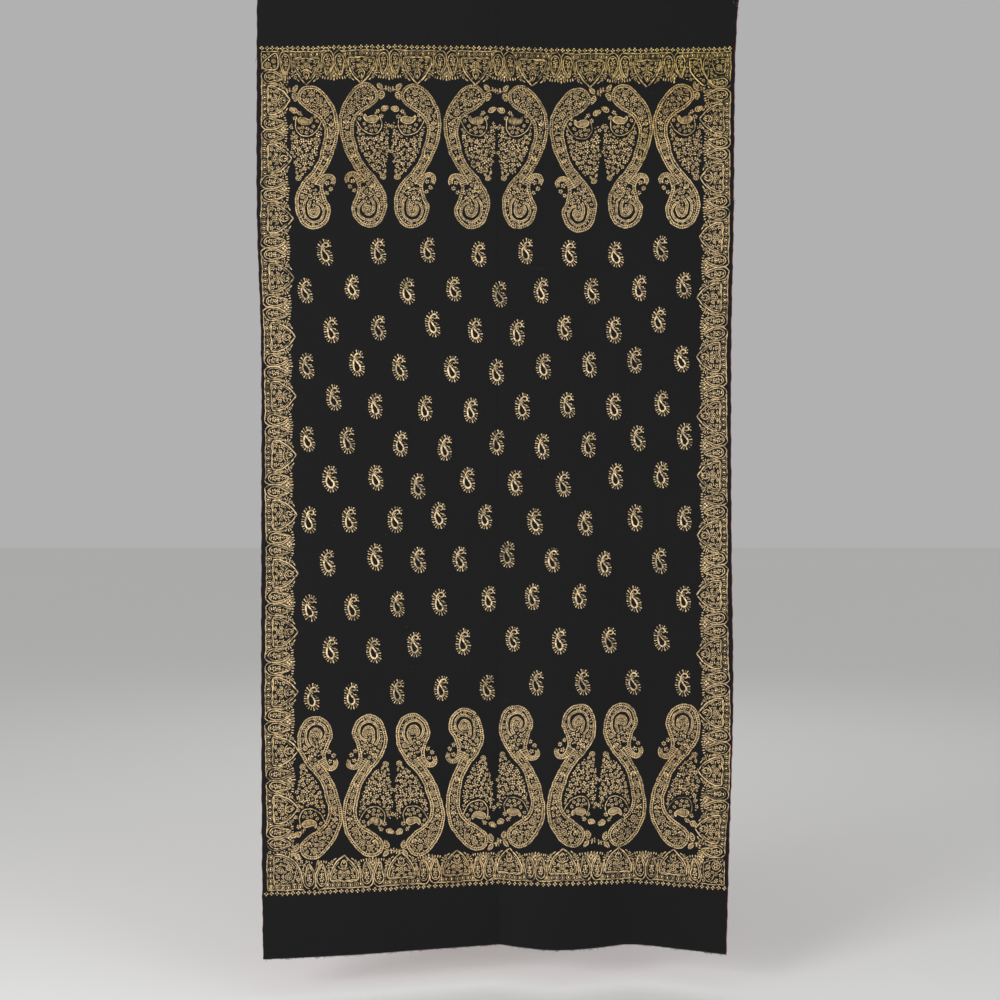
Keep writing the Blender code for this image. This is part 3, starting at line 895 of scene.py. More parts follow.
# Fat spikes are painted brighter, a painted highlight of their satin sheen, and thin ones darker, painted
# shade
WIDE_SPIKE = 2.6
FAT_SPIKE_HIGHLIGHT, THIN_SPIKE_PAINTED_SHADE = 1.35, 0.75
LOOP = (
    (-7.2, -2.5), (-7.6, 3.2), (-6.4, 9.6), (-4.0, 14.6), (0.8, 17.0), (5.4, 14.4), (6.7, 9.6), (4.4, 4.6),
    (0.8, 0.2), (-2.6, -4.6), (-5.4, -6.8),
)
HOOK = ((-5.2, -6.8), (-4.6, -12.0), (-1.2, -17.2), (4.0, -18.8), (8.0, -16.0), (8.6, -12.4), (5.8, -10.8))
INNER_HOOK = ((-2.4, -6.0), (-1.8, -10.8), (0.2, -13.4), (2.0, -9.6))


def spike(start, end, width):
    """A satin stitch that is fattest near its outer end."""
    start, end = np.array(start), np.array(end)
    shares, swell = np.array((0.0, 0.45, 0.84, 1.0)), np.array((0.5, 0.5, 1.0, 0.7))
    # A painted highlight for a fat spike, painted shade for a thin one
    shade = FAT_SPIKE_HIGHLIGHT if width > WIDE_SPIKE else THIN_SPIKE_PAINTED_SHADE
    return [Line(start + (end - start) * shares[:, None], width * swell, shade)]


def small_boteh():
    """A hooked loop with spikes all round it."""
    lines = curve(LOOP, 3.5, closed=True, shade=0.82) + curve(HOOK, 3.0, shade=0.92) + curve(INNER_HOOK, 2.2)
    lines += oval((3.4, -12.0), (5.4, -9.8), 2.6, SATIN_HIGHLIGHT) + oval((0.0, -8.0), (1.0, -5.8), 2.4, SATIN_HIGHLIGHT)
    for row in SPIKES:
        lines += spike(*row)
    return lines


# Places of the border on the flat cloth. The wanders are rows of a place along a rule, and
# how far the rule strays there: down on the top and bottom rules, out on the side rules.
TOP_RULE = 0.129
BOTTOM_RULE = 1.8784
SIDE_RULE = 0.496
TOP_WANDER = np.array((
    (-0.500, 0.0025), (-0.438, 0.0025), (-0.379, 0.0018), (-0.320, 0.0), (-0.260, -0.0014), (-0.200, -0.0012),
    (-0.143, 0.0), (-0.017, 0.0012), (0.034, 0.0030), (0.154, 0.0062), (0.211, 0.0063), (0.270, 0.0060),
    (0.324, 0.0052), (0.447, 0.0036), (0.500, 0.0023),
))
BOTTOM_WANDER = np.array((
    (-0.500, 0.002), (-0.170, 0.002), (0.020, 0.001), (0.159, -0.004), (0.300, 0.0), (0.500, 0.0),
))
LEFT_WANDER = np.array((
    (0.0, -0.0004), (0.36, -0.0012), (0.55, 0.0020), (0.82, 0.0020), (0.95, 0.0008), (1.08, 0.0008),
    (1.15, -0.0010), (1.26, -0.0010), (1.49, 0.0010), (1.59, 0.0008), (1.65, -0.0008), (1.77, -0.0018),
    (LENGTH, -0.0010),
))
RIGHT_WANDER = np.array((
    (0.0, 0.0), (0.68, 0.0), (0.78, -0.0013), (0.90, 0.0), (1.20, 0.0), (1.30, -0.0013), (1.42, -0.0005),
    (1.49, 0.0022), (1.58, 0.0039), (1.67, 0.0050), (1.73, 0.0037),
    (1.785, 0.0006), (1.82, -0.0002), (LENGTH, 0.0010),
))
TOP_ARCHES = (-0.402, -0.286, -0.169, -0.0468, 0.0742, 0.1970, 0.3187)
BOTTOM_ARCHES = (-0.3337, -0.2108, -0.0897, 0.0265, 0.143, 0.2682, 0.3860)
# Where each border's units start and end, and where its lone teardrop lies
TOP_RUN, TOP_DROP = (-0.457, 0.376), 0.389
BOTTOM_RUN, BOTTOM_DROP = (-0.394, 0.447), -0.4065
LEFT_RUN, LEFT_DROP = (0.172, 1.774), 1.786
RIGHT_RUN, RIGHT_DROP = (0.209, 1.823), 0.196
# How far down the corners' side rules are taken from
NEAR_TOP, NEAR_BOTTOM = 0.1, 1.9
# Rows of lozenges outside the end borders: how many are worked as far as each place across
TOP_LOZENGES = ((0, 16, 71, 86), (-494.6, -322.4, 327.0, 493.6))
BOTTOM_LOZENGES = ((0, 14, 30, 68, 82), (-497.0, -340.3, -150.4, 329.2, 497.5))
# On the top border: how far in the arches' shoulders are, and how much the tips beyond are drawn in
SHOULDER = 0.050
TIP_STRETCH = 0.22

# Pixels of the photograph's frame at which the tips of the side borders' arches are seen
LEFT_TIP_PIXELS = (
    (289.9, 100.4), (291.6, 158.6), (293.6, 218.5), (294.5, 278.0), (295.2, 337.1), (295.7, 396.3),
    (296.5, 455.4), (297.3, 514.6), (297.9, 573.7), (297.9, 632.0), (298.5, 692.0), (298.5, 750.8),
    (297.9, 809.0),
)
RIGHT_TIP_PIXELS = (
    (700.0, 118.6), (700.0, 178.0), (699.0, 237.0), (697.0, 297.5), (697.0, 356.9), (697.0, 416.3),
    (697.0, 475.8), (697.0, 535.2), (697.0, 594.6), (697.0, 654.0), (698.3, 712.4), (697.8, 770.3),
    (695.5, 828.5),
)
LEFT_TIPS = flat_at(np.array(LEFT_TIP_PIXELS))
RIGHT_TIPS = flat_at(np.array(RIGHT_TIP_PIXELS))


def in_metres(lines):
    return moved(lines, lambda points: points * MM)


# From here to beside(), each takes (along, inward) in metres: along is across or down, and
# inward is from the rule.
def on_top(points):
    across, inward = points.T
    return np.column_stack((across, TOP_RULE + inward + eased(TOP_WANDER, 1, across)))


def deep_tipped(points):
    """Draws the arches' tips further in, as they are along the top."""
    along, inward = points.T
    return np.column_stack((along, inward + np.maximum(inward - SHOULDER, 0.0) * TIP_STRETCH))


def on_bottom(points):
    across, inward = points.T
    return np.column_stack((across, BOTTOM_RULE - inward + eased(BOTTOM_WANDER, 1, across)))


def beside(side, tips, wander):
    """A side border's places. Its depth follows the tips of its arches."""
    depths = SIDE_RULE + eased(wander, 1, tips[:, 1]) - np.abs(tips[:, 0])

    def where(points):
        down, inward = points.T
        share = np.interp(down, tips[:, 1], depths / (ARCH_TIP * MM))
        return np.column_stack((side * (SIDE_RULE + eased(wander, 1, down) - inward * share), down))
    return where


def stretched(axis, near, far):
    """Puts a unit's lines on its arch's axis and stretches each half to its own limit."""
    def where(points):
        along, inward = points.T
        share = np.where(along < 0, axis - near, far - axis) / UNIT_HALF
        return np.column_stack((axis + along * share, inward * MM))
    return where


def along_band(arches, run, beads):
    """Border units on their arches' places, which meet half way between them and fill the run."""
    start, end = run
    limits = (start, *((a + b) / 2 for a, b in zip(arches, arches[1:])), end)
    lines = []
    for axis, near, far in zip(arches, limits, limits[1:]):
        lines += moved(border_unit(beads), stretched(axis, near, far))
    return lines


def lone_drop(place, towards):
    """A teardrop whose arch would lie on the side that towards points away from."""
    return moved(drop(), lambda points: points * MM * (towards, 1) + (place, 0.0))


def corner_place(side, end):
    """Takes (in from the side rule, in from the end rule) in millimetres to the flat cloth."""
    wander = LEFT_WANDER if side == LEFT else RIGHT_WANDER
    rule = SIDE_RULE + eased(wander, 1, np.array([NEAR_BOTTOM if end == BOTTOM else NEAR_TOP]))

    def where(points):
        from_side, from_end = points.T * MM
        across = side * (rule - from_side)
        return (on_bottom if end == BOTTOM else on_top)(np.column_stack((across, from_end)))
    return where


def top_border():
    lines = moved(moved(along_band(TOP_ARCHES, TOP_RUN, END_BEADS), deep_tipped), on_top)
    lines += moved(lone_drop(TOP_DROP, -1) + in_metres(lozenges(*TOP_LOZENGES, 4.5, 1.4)), on_top)
    lines += moved(corner_drop(CORNER_DROP, DROP_MOTIFS, DROP_REACH), corner_place(LEFT, TOP))
    return lines + moved(tall_block(), corner_place(RIGHT, TOP))


def bottom_border():
    lines = moved(along_band(BOTTOM_ARCHES, BOTTOM_RUN, END_BEADS), on_bottom)
    lines += moved(lone_drop(BOTTOM_DROP, 1) + in_metres(lozenges(*BOTTOM_LOZENGES, 4.3, 1.15)), on_bottom)
    lines += moved(corner_block(), corner_place(LEFT, BOTTOM))
    wide_drop = corner_drop(WIDE_DROP, WIDE_DROP_MOTIFS, WIDE_DROP_REACH)
    return lines + moved(wide_drop, corner_place(RIGHT, BOTTOM))


# The ground between a corner's own pieces, in (in from the side rule, in from the end rule)
Ground = namedtuple("Ground", "side end outline")
CORNER_GROUNDS = (
    Ground(LEFT, TOP, ((1.0, 1.0), (66.0, 1.0), (68.0, 56.0), (58.0, 66.0), (48.0, 84.0), (1.0, 84.0))),
    Ground(RIGHT, TOP, (
        (1.0, 1.0), (112.0, 1.0), (112.0, 54.0), (92.0, 58.0), (74.0, 70.0), (52.0, 80.0), (1.0, 84.0),
    )),
    Ground(LEFT, BOTTOM, (
        (1.0, 1.0), (96.0, 1.0), (96.0, 56.0), (82.0, 60.0), (68.0, 68.0), (60.0, 82.0), (58.0, 104.0),
        (1.0, 104.0),
    )),
    Ground(RIGHT, BOTTOM, ((1.0, 1.0), (66.0, 1.0), (66.0, 50.0), (58.0, 64.0), (48.0, 78.0), (1.0, 78.0))),
)


def fill_ground(lines, ground):
    """Packs motifs into a corner's ground, clear of all the border lines there."""
    outline = corner_place(ground.side, ground.end)(np.array(ground.outline)) / MM
    low, high = (outline.min(axis=0) - LINK) * MM, (outline.max(axis=0) + LINK) * MM
    near = [stitch for stitch in lines if ((stitch.points > low) & (stitch.points < high)).all(axis=1).any()]
    near = moved(near, lambda points: points / MM)
    return in_metres(fill(outline, near, SMALL_FLORETS, SMALL_SEEDS))


def left_border():
    lines = along_band(LEFT_TIPS[:, 1], LEFT_RUN, SIDE_BEADS)
    return moved(lines + lone_drop(LEFT_DROP, -1), beside(LEFT, LEFT_TIPS, LEFT_WANDER))


def right_border():
    lines = along_band(RIGHT_TIPS[:, 1], RIGHT_RUN, SIDE_BEADS)
    return moved(lines + lone_drop(RIGHT_DROP, 1), beside(RIGHT, RIGHT_TIPS, RIGHT_WANDER))


# Large botehs, as in the CAD: outermost side, middle of the curled tail, top of the head,
# end of the tail, and the way it faces. The axis is the one it shares with its pair. The nod
# is how far its head's top leans over to that axis, in millimetres.
Boteh = namedtuple("Boteh", "outermost curl head tail faces axis nod", defaults=(0.0,))
TOP_BOTEHS = (
    Boteh(-0.3345, -0.3865, 0.207, 0.507, LEFT, -0.438, -1.0),
    Boteh(-0.333, -0.272, 0.201, 0.502, RIGHT, -0.226, -0.8),
    Boteh(-0.119, -0.1795, 0.203, 0.503, LEFT, -0.226, 1.4),
    Boteh(-0.113, -0.056, 0.2045, 0.504, RIGHT, -0.0025, 2.0),
    Boteh(0.108, 0.048, 0.206, 0.504, LEFT, -0.0025, 3.2),
    Boteh(0.111, 0.173, 0.211, 0.511, RIGHT, 0.221, 4.2),
    Boteh(0.331, 0.275, 0.204, 0.503, LEFT, 0.221, 4.2),
    Boteh(0.332, 0.394, 0.2025, 0.503, RIGHT, 0.438, 5.0),
)
BOTTOM_BOTEHS = (
    Boteh(-0.337, -0.391, 1.8155, 1.523, LEFT, -0.438, 5.0),
    Boteh(-0.336, -0.279, 1.8155, 1.522, RIGHT, -0.2255, 3.0),
    Boteh(-0.117, -0.1825, 1.818, 1.521, LEFT, -0.2255, 1.4),
    Boteh(-0.112, -0.071, 1.8125, 1.513, RIGHT, -0.004),
    Boteh(0.104, 0.042, 1.8055, 1.507, LEFT, -0.004),
    Boteh(0.109, 0.174, 1.801, 1.503, RIGHT, 0.217),
    Boteh(0.325, 0.268, 1.805, 1.503, LEFT, 0.217, -3.0),
    Boteh(0.3335, 0.399, 1.805, 1.503, RIGHT, 0.438, 5.5),
)


def placed_boteh(boteh):
    """The large boteh's lines on the flat cloth, leaned, nodding and stretched as the row says."""
    stretch = (boteh.tail - boteh.head) / (BOTEH_LENGTH * MM)
    lean = (boteh.curl - boteh.outermost) * boteh.faces / MM - CURL_INWARD

    def where(points):
        inward, along = points.T
        leaning = inward + lean * (along - WIDEST_ALONG) / (CURL_ALONG - WIDEST_ALONG)
        leaning += boteh.nod * np.clip(1.0 - along / WIDEST_ALONG, 0.0, 1.1)
        across = boteh.outermost + boteh.faces * leaning * MM
        return np.column_stack((across, boteh.head + stretch * along * MM))

    return moved(boteh_lines(abs(boteh.axis - boteh.outermost) / MM), where)


# Pixels of the photograph's frame at which the field's small botehs have their middles
FIELD_PIXELS = (
    (325.1, 252.4), (378.4, 250.9), (427.9, 250.3), (479.1, 254.0), (525.9, 251.2), (569.6, 253.4),
    (615.9, 254.4), (660.8, 248.6),
    (305.4, 290.7), (352.4, 286.9), (407.5, 290.9), (453.8, 288.8), (499.8, 294.4), (541.4, 290.3),
    (591.8, 291.2), (639.7, 287.7), (684.1, 285.3),
    (331.2, 330.0), (378.7, 327.6), (432.8, 324.0), (475.4, 330.4), (517.5, 332.3), (564.7, 328.0),
    (614.0, 329.8), (658.9, 320.1),
    (306.7, 365.9), (357.0, 363.1), (399.8, 367.7), (451.8, 368.7), (496.6, 372.1), (543.7, 366.1),
    (589.6, 364.3), (634.9, 360.2), (681.7, 358.7),
    (333.7, 397.7), (375.4, 405.8), (425.3, 408.2), (470.9, 410.0), (522.5, 406.6), (567.4, 405.2),
    (613.9, 406.4), (661.8, 403.3),
    (307.4, 439.0), (347.5, 440.2), (400.6, 443.7), (445.0, 447.7), (497.2, 442.3), (542.2, 446.1),
    (588.7, 444.6), (637.9, 438.0), (684.6, 436.3),
    (330.3, 479.0), (375.8, 477.4), (418.0, 486.1), (467.7, 479.8), (515.4, 482.8), (563.3, 484.2),
    (615.9, 476.3), (661.2, 474.9),
    (309.2, 519.9), (349.6, 519.3), (395.4, 519.7), (438.9, 515.3), (485.3, 516.7), (535.1, 521.6),
    (585.6, 523.2), (635.4, 517.6), (684.6, 518.3),
    (327.8, 562.8), (375.4, 556.9), (418.3, 559.7), (460.0, 559.2), (507.7, 554.5), (552.4, 559.8),
    (604.6, 563.7), (659.6, 561.0),
    (309.6, 607.8), (352.1, 607.1), (397.5, 604.3), (439.5, 602.0), (488.9, 598.5), (532.5, 596.8),
    (579.7, 596.0), (634.0, 599.1), (683.8, 598.4),
    (330.6, 649.8), (373.7, 650.1), (414.4, 644.5), (463.2, 641.9), (512.9, 638.7), (559.4, 641.0),
    (609.1, 639.8), (661.4, 638.0),
    (312.2, 696.7), (351.6, 695.8), (397.5, 691.9), (441.5, 687.9), (487.4, 687.6), (536.7, 682.8),
    (582.7, 682.2), (632.9, 682.0), (683.0, 683.0),
)


def field_botehs():
    """All the small botehs, each a little turned and of its own size."""
    lines = []
    for middle in flat_at(np.array(FIELD_PIXELS)):
        turn, size = rng.normal(0.0, 0.05), rng.uniform(1.0, 1.08)
        spin = np.array(((math.cos(turn), math.sin(turn)), (-math.sin(turn), math.cos(turn))))
        lines += moved(small_boteh(), lambda points: middle + points @ spin * size * MM)
    return lines


# Thread colours, linear
GOLD = np.array((0.88, 0.65, 0.34))
PALE_GOLD = np.array((0.95, 0.73, 0.43))
# A deeper gold hue, also darkened as painted shade for the top of the cloth
DEEP_GOLD_AND_PAINTED_SHADE = np.array((0.50, 0.36, 0.14))
GREEN_GOLD = np.array((0.64, 0.48, 0.14))
RUSSET = np.array((0.54, 0.32, 0.12))
RED = np.array((0.22, 0.006, 0.016))
BLACK = np.array((0.012, 0.012, 0.013))
GREY = np.array((0.16, 0.16, 0.17))
DARKEST = np.array((0.003, 0.003, 0.003))

# Where the thread turns to another shade: place, reach each way, how far it turns, and colour
Patch = namedtuple("Patch", "across down wide long share colour")
PATCHES = (
    Patch(0.0, 1.0, 0.80, 0.75, 0.75, PALE_GOLD),
    # Darker towards the top: painted shade, with a deeper gold hue
    Patch(0.0, 0.14, 1.20, 0.085, 0.85, DEEP_GOLD_AND_PAINTED_SHADE),
    Patch(0.0, 0.34, 1.00, 0.12, 0.30, DEEP_GOLD_AND_PAINTED_SHADE),
    Patch(0.42, 0.14, 0.12, 0.10, 0.75, GREEN_GOLD),
    Patch(0.20, 0.13, 0.08, 0.08, 0.4, GREEN_GOLD),
    Patch(-0.40, 0.27, 0.04, 0.04, 0.4, RUSSET),
    Patch(-0.30, 0.40, 0.035, 0.035, 0.45, RUSSET),
    Patch(0.38, 0.24, 0.06, 0.07, 0.5, RUSSET),
    Patch(-0.43, 1.83, 0.08, 0.07, 0.6, PALE_GOLD),
    Patch(-0.40, 1.74, 0.05, 0.05, 0.4, RUSSET),
    Patch(0.39, 1.62, 0.05, 0.07, 0.4, RUSSET),
    Patch(-0.10, 1.87, 0.05, 0.05, 0.5, RUSSET),
    Patch(0.30, 0.30, 0.05, 0.05, 0.4, GREEN_GOLD),
)


def thread_colours(flat):
    """Gold at flat places, turned towards the colours of the patches near them, which also darken the top as
    painted shade.
    """
    colours = np.tile(GOLD, (len(flat), 1))
    for patch in PATCHES:
        away = np.hypot((flat[:, 0] - patch.across) / patch.wide, (flat[:, 1] - patch.down) / patch.long)
        share = (patch.share * np.exp(-away**2))[:, None]
        colours = colours * (1 - share) + patch.colour * share
    return colours


# The hand's unevenness: wavelength and size of slow swings, in metres
SWINGS = ((0.071, 0.0005), (0.033, 0.0004), (0.017, 0.00025))
SWING_PHASES = rng.uniform(0.0, 2 * math.pi, (len(SWINGS), 4))


def by_hand(flat):
    """Moves flat places by the slow swings of handwork."""
    moves = np.zeros_like(flat)
    for (wavelength, size), phases in zip(SWINGS, SWING_PHASES):
        turns = flat * (2 * math.pi / wavelength)
        moves[:, 0] += size * np.sin(turns[:, 1] + phases[0] + np.sin(turns[:, 0] + phases[1]))
        moves[:, 1] += size * np.sin(turns[:, 0] + phases[2] + np.sin(turns[:, 1] + phases[3]))
    return flat + moves


def new_mesh(name, vertices, faces, sizes, materials, smooth_angle):
    """An object from numpy arrays: faces are joined corner indices, sizes the corners of each."""
    mesh = bpy.data.meshes.new(name)
    mesh.vertices.add(len(vertices))
    mesh.vertices.foreach_set("co", np.asarray(vertices, np.float32).ravel())
    mesh.loops.add(len(faces))
    mesh.loops.foreach_set("vertex_index", np.asarray(faces, np.int32))
    mesh.polygons.add(len(sizes))
    starts = np.concatenate(([0], np.cumsum(sizes)[:-1]))
    mesh.polygons.foreach_set("loop_start", starts.astype(np.int32))
    mesh.update(calc_edges=True)
    mesh.validate()
    mesh.shade_smooth()
    mesh.set_sharp_from_angle(angle=math.radians(smooth_angle))
    for material in materials:
        mesh.materials.append(material)
    obj = bpy.data.objects.new(name, mesh)
    bpy.context.scene.collection.objects.link(obj)
    return obj


def add_uv(mesh, values):
    """A UV map from a place for each vertex."""
    layer = mesh.uv_layers.new(name="UVMap")
    corners = np.empty(len(mesh.loops), np.int32)
    mesh.loops.foreach_get("vertex_index", corners)
    layer.data.foreach_set("uv", np.asarray(values, np.float32)[corners].ravel())


def add_colours(mesh, values):
    """The thread's colour at each vertex."""
    layer = mesh.color_attributes.new("thread", "FLOAT_COLOR", "POINT")
    colours = np.column_stack((values, np.ones(len(values))))
    layer.data.foreach_set("color", colours.astype(np.float32).ravel())


# How deep a thread's edges lie in the cloth, and how high it stands: in widths, and at most
BURIED = 0.0002
CROWN = 0.5
BACK_CROWN = 0.3
TALLEST = 0.0012
# How uneven the lines' shades are, how dark the thin ends are painted, and the darkest and brightest thread
UNEVEN = 0.27
# Painted shade at a stitch's thin ends, and a painted highlight where it is widest and stands highest
THIN_END_PAINTED_SHADE = 0.40
DARKEST_SHADE = 0.002
BRIGHTEST = 0.97
# Lines with more points than this are worked ones, whose single stitches vary too
WORKED_LINE = 4
STITCH_WIDTHS = (0.78, 1.22)
STITCH_SHADES = 0.40
# Each line starts somewhere along the thread's pattern, in millimetres
PATTERN_STARTS = (0.0, 50.0)


def thread_faces(first, last, count, face):
    """Faces of three-sided threads, from their first and last points, as joined corners and sizes."""
    left = np.delete(np.arange(count), last) * 3
    pairs = ((0, 1), (1, 2), (2, 0))
    quads = np.vstack([np.column_stack((left + a, left + a + 3, left + b + 3, left + b)) for a, b in pairs])
    caps = np.vstack((first[:, None] * 3 + (0, 1, 2), last[:, None] * 3 + (2, 1, 0)))
    if face < 0:
        quads, caps = quads[:, ::-1], caps[:, ::-1]
    sizes = np.repeat((4, 3), (len(quads), len(caps)))
    return np.concatenate((quads.ravel(), caps.ravel())), sizes


def thread_shades(flat, lines, line_of, widths, worked, colour):
    """The colour at each point: uneven from line to line, and from stitch to stitch if worked, with a painted
    highlight where a stitch is widest and painted shade at its thin ends.
    """
    shades = thread_colours(flat) if colour is None else np.tile(colour, (len(flat), 1))
    uneven = np.array([stitch.shade for stitch in lines]) * rng.normal(1.0, UNEVEN, len(lines))
    fullest = np.zeros(len(lines))
    np.maximum.at(fullest, line_of, widths)
    # Painted highlight where a stitch is widest, painted shade towards its thin ends; then each worked
    # stitch's own uneven tone
    painted_light_and_unevenness = THIN_END_PAINTED_SHADE + (1.0 - THIN_END_PAINTED_SHADE) * widths / fullest[line_of]
    painted_light_and_unevenness = np.where(worked, painted_light_and_unevenness * rng.normal(1.0, STITCH_SHADES, len(flat)), painted_light_and_unevenness)
    shades = np.maximum(shades * (uneven[line_of] * painted_light_and_unevenness)[:, None], DARKEST_SHADE)
    return shades / np.maximum(1.0, shades.max(axis=1, keepdims=True) / BRIGHTEST)


def stitched(name, lines, material, colour=None, face=1, crown=CROWN):
    """Joins stitch lines into one mesh of raised threads on the cloth's front or back."""
    counts = np.array([len(stitch.points) for stitch in lines])
    line_of = np.repeat(np.arange(len(lines)), counts)
    last = np.cumsum(counts) - 1
    first = last - counts + 1
    flat = by_hand(np.vstack([stitch.points for stitch in lines]))
    worked = counts[line_of] > WORKED_LINE
    widths = np.concatenate([stitch.widths for stitch in lines]) * MM
    widths = np.where(worked, widths * rng.uniform(*STITCH_WIDTHS, len(flat)), widths)

    behind, ahead = np.roll(flat, 1, axis=0), np.roll(flat, -1, axis=0)
    behind[first], ahead[last] = flat[first], flat[last]
    heading = ahead - behind
    heading /= np.maximum(np.linalg.norm(heading, axis=1, keepdims=True), 1e-9)
    side = np.column_stack((-heading[:, 1], heading[:, 0])) * widths[:, None] / 2
    low = np.full(len(flat), face * (FACE - BURIED))
    high = face * (FACE + np.minimum(crown * widths, TALLEST))
    vertices = np.stack((drape(flat + side, low), drape(flat, high), drape(flat - side, low)), axis=1)
    faces, sizes = thread_faces(first, last, len(flat), face)
    obj = new_mesh(name, vertices.reshape(-1, 3), faces, sizes, [material], 80)

    run = np.cumsum(np.linalg.norm(flat - behind, axis=1)) / MM
    run += rng.uniform(*PATTERN_STARTS, len(lines))[line_of]
    add_uv(obj.data, np.column_stack((np.repeat(run, 3), np.tile((0.0, 0.5, 1.0), len(flat)))))
    shades = thread_shades(flat, lines, line_of, widths, worked, colour)
    add_colours(obj.data, np.repeat(shades, 3, axis=0))
    return obj


# On the back: how many of the lines show, and how narrow they are
BACK_SHARE = 0.6
BACK_WIDTH = 0.75


def reverse(lines):
    """What the needle leaves on the back: fewer, plainer and narrower stitches."""
    left = []
    for stitch in lines:
        if rng.random() < BACK_SHARE:
            kept = np.unique(np.append(np.arange(0, len(stitch.points), 2), len(stitch.points) - 1))
            left.append(Line(stitch.points[kept], stitch.widths[kept] * BACK_WIDTH, stitch.shade))
    return left


# Materials
class Graph:
    """A new material's nodes. Apart from set(), each method adds one and gives its output."""

    def __init__(self, name):
        self.material = bpy.data.materials.new(name)
        self.material.use_nodes = True
        self.shader = self.material.node_tree.nodes["Principled BSDF"]

    def set(self, node, values):
        """Links or sets a node's inputs, given by name or number."""
        for key, value in values.items():
            if isinstance(value, bpy.types.NodeSocket):
                self.material.node_tree.links.new(value, node.inputs[key])
            else:
                node.inputs[key].default_value = value

    def add(self, kind, output, values, **settings):
        """A new node with its inputs and settings, seen by one of its outputs."""
        node = self.material.node_tree.nodes.new("ShaderNode" + kind)
        for name, value in settings.items():
            setattr(node, name, value)
        self.set(node, values)
        return node.outputs[output]

    def noise(self, scale, **values):
        return self.add("TexNoise", "Fac", {"Scale": scale, **values})

    def wave(self, period, vector, direction="X"):
        """Soft bands with a period in the vector's own units."""
        per_unit = 10.0 if direction == "DIAGONAL" else 20.0
        values = {"Scale": 2 * math.pi / (per_unit * period), "Vector": vector}
        return self.add("TexWave", "Fac", values, bands_direction=direction)

    def spread(self, value, low, high):
        """The value, from 0 to 1, moved into the range low to high."""
        return self.add("MapRange", "Result", {"Value": value, "To Min": low, "To Max": high})

    def product(self, first, second):
        return self.add("Math", "Value", {0: first, 1: second}, operation="MULTIPLY")

    def shaded(self, colour, factor):
        """A colour, from an output or as three numbers, times a factor."""
        if not isinstance(colour, bpy.types.NodeSocket):
            plain = self.add("RGB", "Color", {})
            plain.default_value = (*colour, 1.0)
            colour = plain
        return self.add("VectorMath", "Vector", {0: colour, "Scale": factor}, operation="SCALE")

    def bumped(self, height, distance, strength):
        values = {"Height": height, "Distance": distance, "Strength": strength}
        return self.add("Bump", "Normal", values)


# From rib to rib of the twill and from one weft yarn to the next, in metres
TWILL_PERIOD = 0.0011
WEFT_PERIOD = 0.0007


def wool(name, colour, sheen, sheen_tint):
    """Fine wool twill, painted darker in the hollows of its weave as painted shade. Its UV map is the flat
    cloth in metres.
    """
    graph = Graph(name)
    flat = graph.add("TexCoord", "UV", {})
    twill = graph.spread(graph.wave(TWILL_PERIOD, flat, "DIAGONAL"), 0.35, 1.0)
    weft = graph.spread(graph.wave(WEFT_PERIOD, flat, "Y"), 0.6, 1.0)
    weave = graph.product(twill, weft)
    fuzz = graph.noise(900.0, Detail=3.0, Vector=flat)
    cloud = graph.noise(5.0, Detail=3.0, Vector=flat)
    # Darker where the weave is low, as painted shade in its hollows; the cloud and fuzz are the wool's own
    # uneven tone
    shade = graph.product(graph.spread(weave, 0.70, 1.12), graph.spread(cloud, 0.88, 1.12))
    shade = graph.product(shade, graph.spread(fuzz, 0.7, 1.3))
    height = graph.product(weave, graph.spread(fuzz, 0.7, 1.0))
    graph.set(graph.shader, {
        "Base Color": graph.shaded(colour, shade),
        "Normal": graph.bumped(height, 0.0003, 0.6),
        "Roughness": 0.92,
        "Specular IOR Level": 0.19,
        "Sheen Weight": sheen,
        "Sheen Roughness": 0.45,
        "Sheen Tint": (*sheen_tint, 1.0),
    })
    return graph.material


# One link of the chain stitch and one turn of the thread's plies, in millimetres
LINK_LENGTH = 2.3
PLY_PITCH = 0.7


def thread(name, metallic, roughness):
    """Chain-stitched thread, painted darker in the dips between its links and plies as painted shade. Its UV
    map runs along the stitch in millimetres and across it.
    """
    graph = Graph(name)
    colour = graph.add("Attribute", "Color", {}, attribute_name="thread")
    run = graph.add("TexCoord", "UV", {})
    chain = graph.wave(LINK_LENGTH, run)
    ply = graph.wave(PLY_PITCH, run, "DIAGONAL")
    fibre = graph.noise(2.2, Detail=3.0, Vector=run)
    # Darker between chain links and between plies, where the bump is low: painted shade; the fibre noise is
    # the thread's own uneven tone
    shade = graph.product(graph.spread(chain, 0.72, 1.14), graph.spread(ply, 0.82, 1.08))
    shade = graph.product(shade, graph.spread(fibre, 0.72, 1.28))
    height = graph.product(graph.spread(chain, 0.2, 1.0), graph.spread(ply, 0.7, 1.0))
    graph.set(graph.shader, {
        "Base Color": graph.shaded(colour, shade),
        "Normal": graph.bumped(height, 0.0004, 0.7),
        "Roughness": graph.spread(fibre, roughness - 0.1, roughness + 0.12),
        "Metallic": metallic,
        "Sheen Weight": 0.1,
        "Sheen Roughness": 0.4,
    })
    return graph.material


BLACK_WOOL = wool("black_wool_face", (0.0058, 0.0058, 0.0064), 0.085, (0.7, 0.72, 0.8))
RED_WOOL = wool("red_wool_reverse", (0.27, 0.008, 0.020), 0.12, (0.9, 0.4, 0.45))
GOLD_THREAD = thread("gold_thread_stitches", 0.15, 0.40)
WOOL_YARN = thread("wool_yarn", 0.0, 0.85)


# Cloth: the space between its grid's lines, and how many lines a crease has
GRID_SPACE = 0.014
CREASE_LINES = 7
# How far the reverse's weave lies off the face's
BACK_WEAVE = (0.0003, 0.0002)


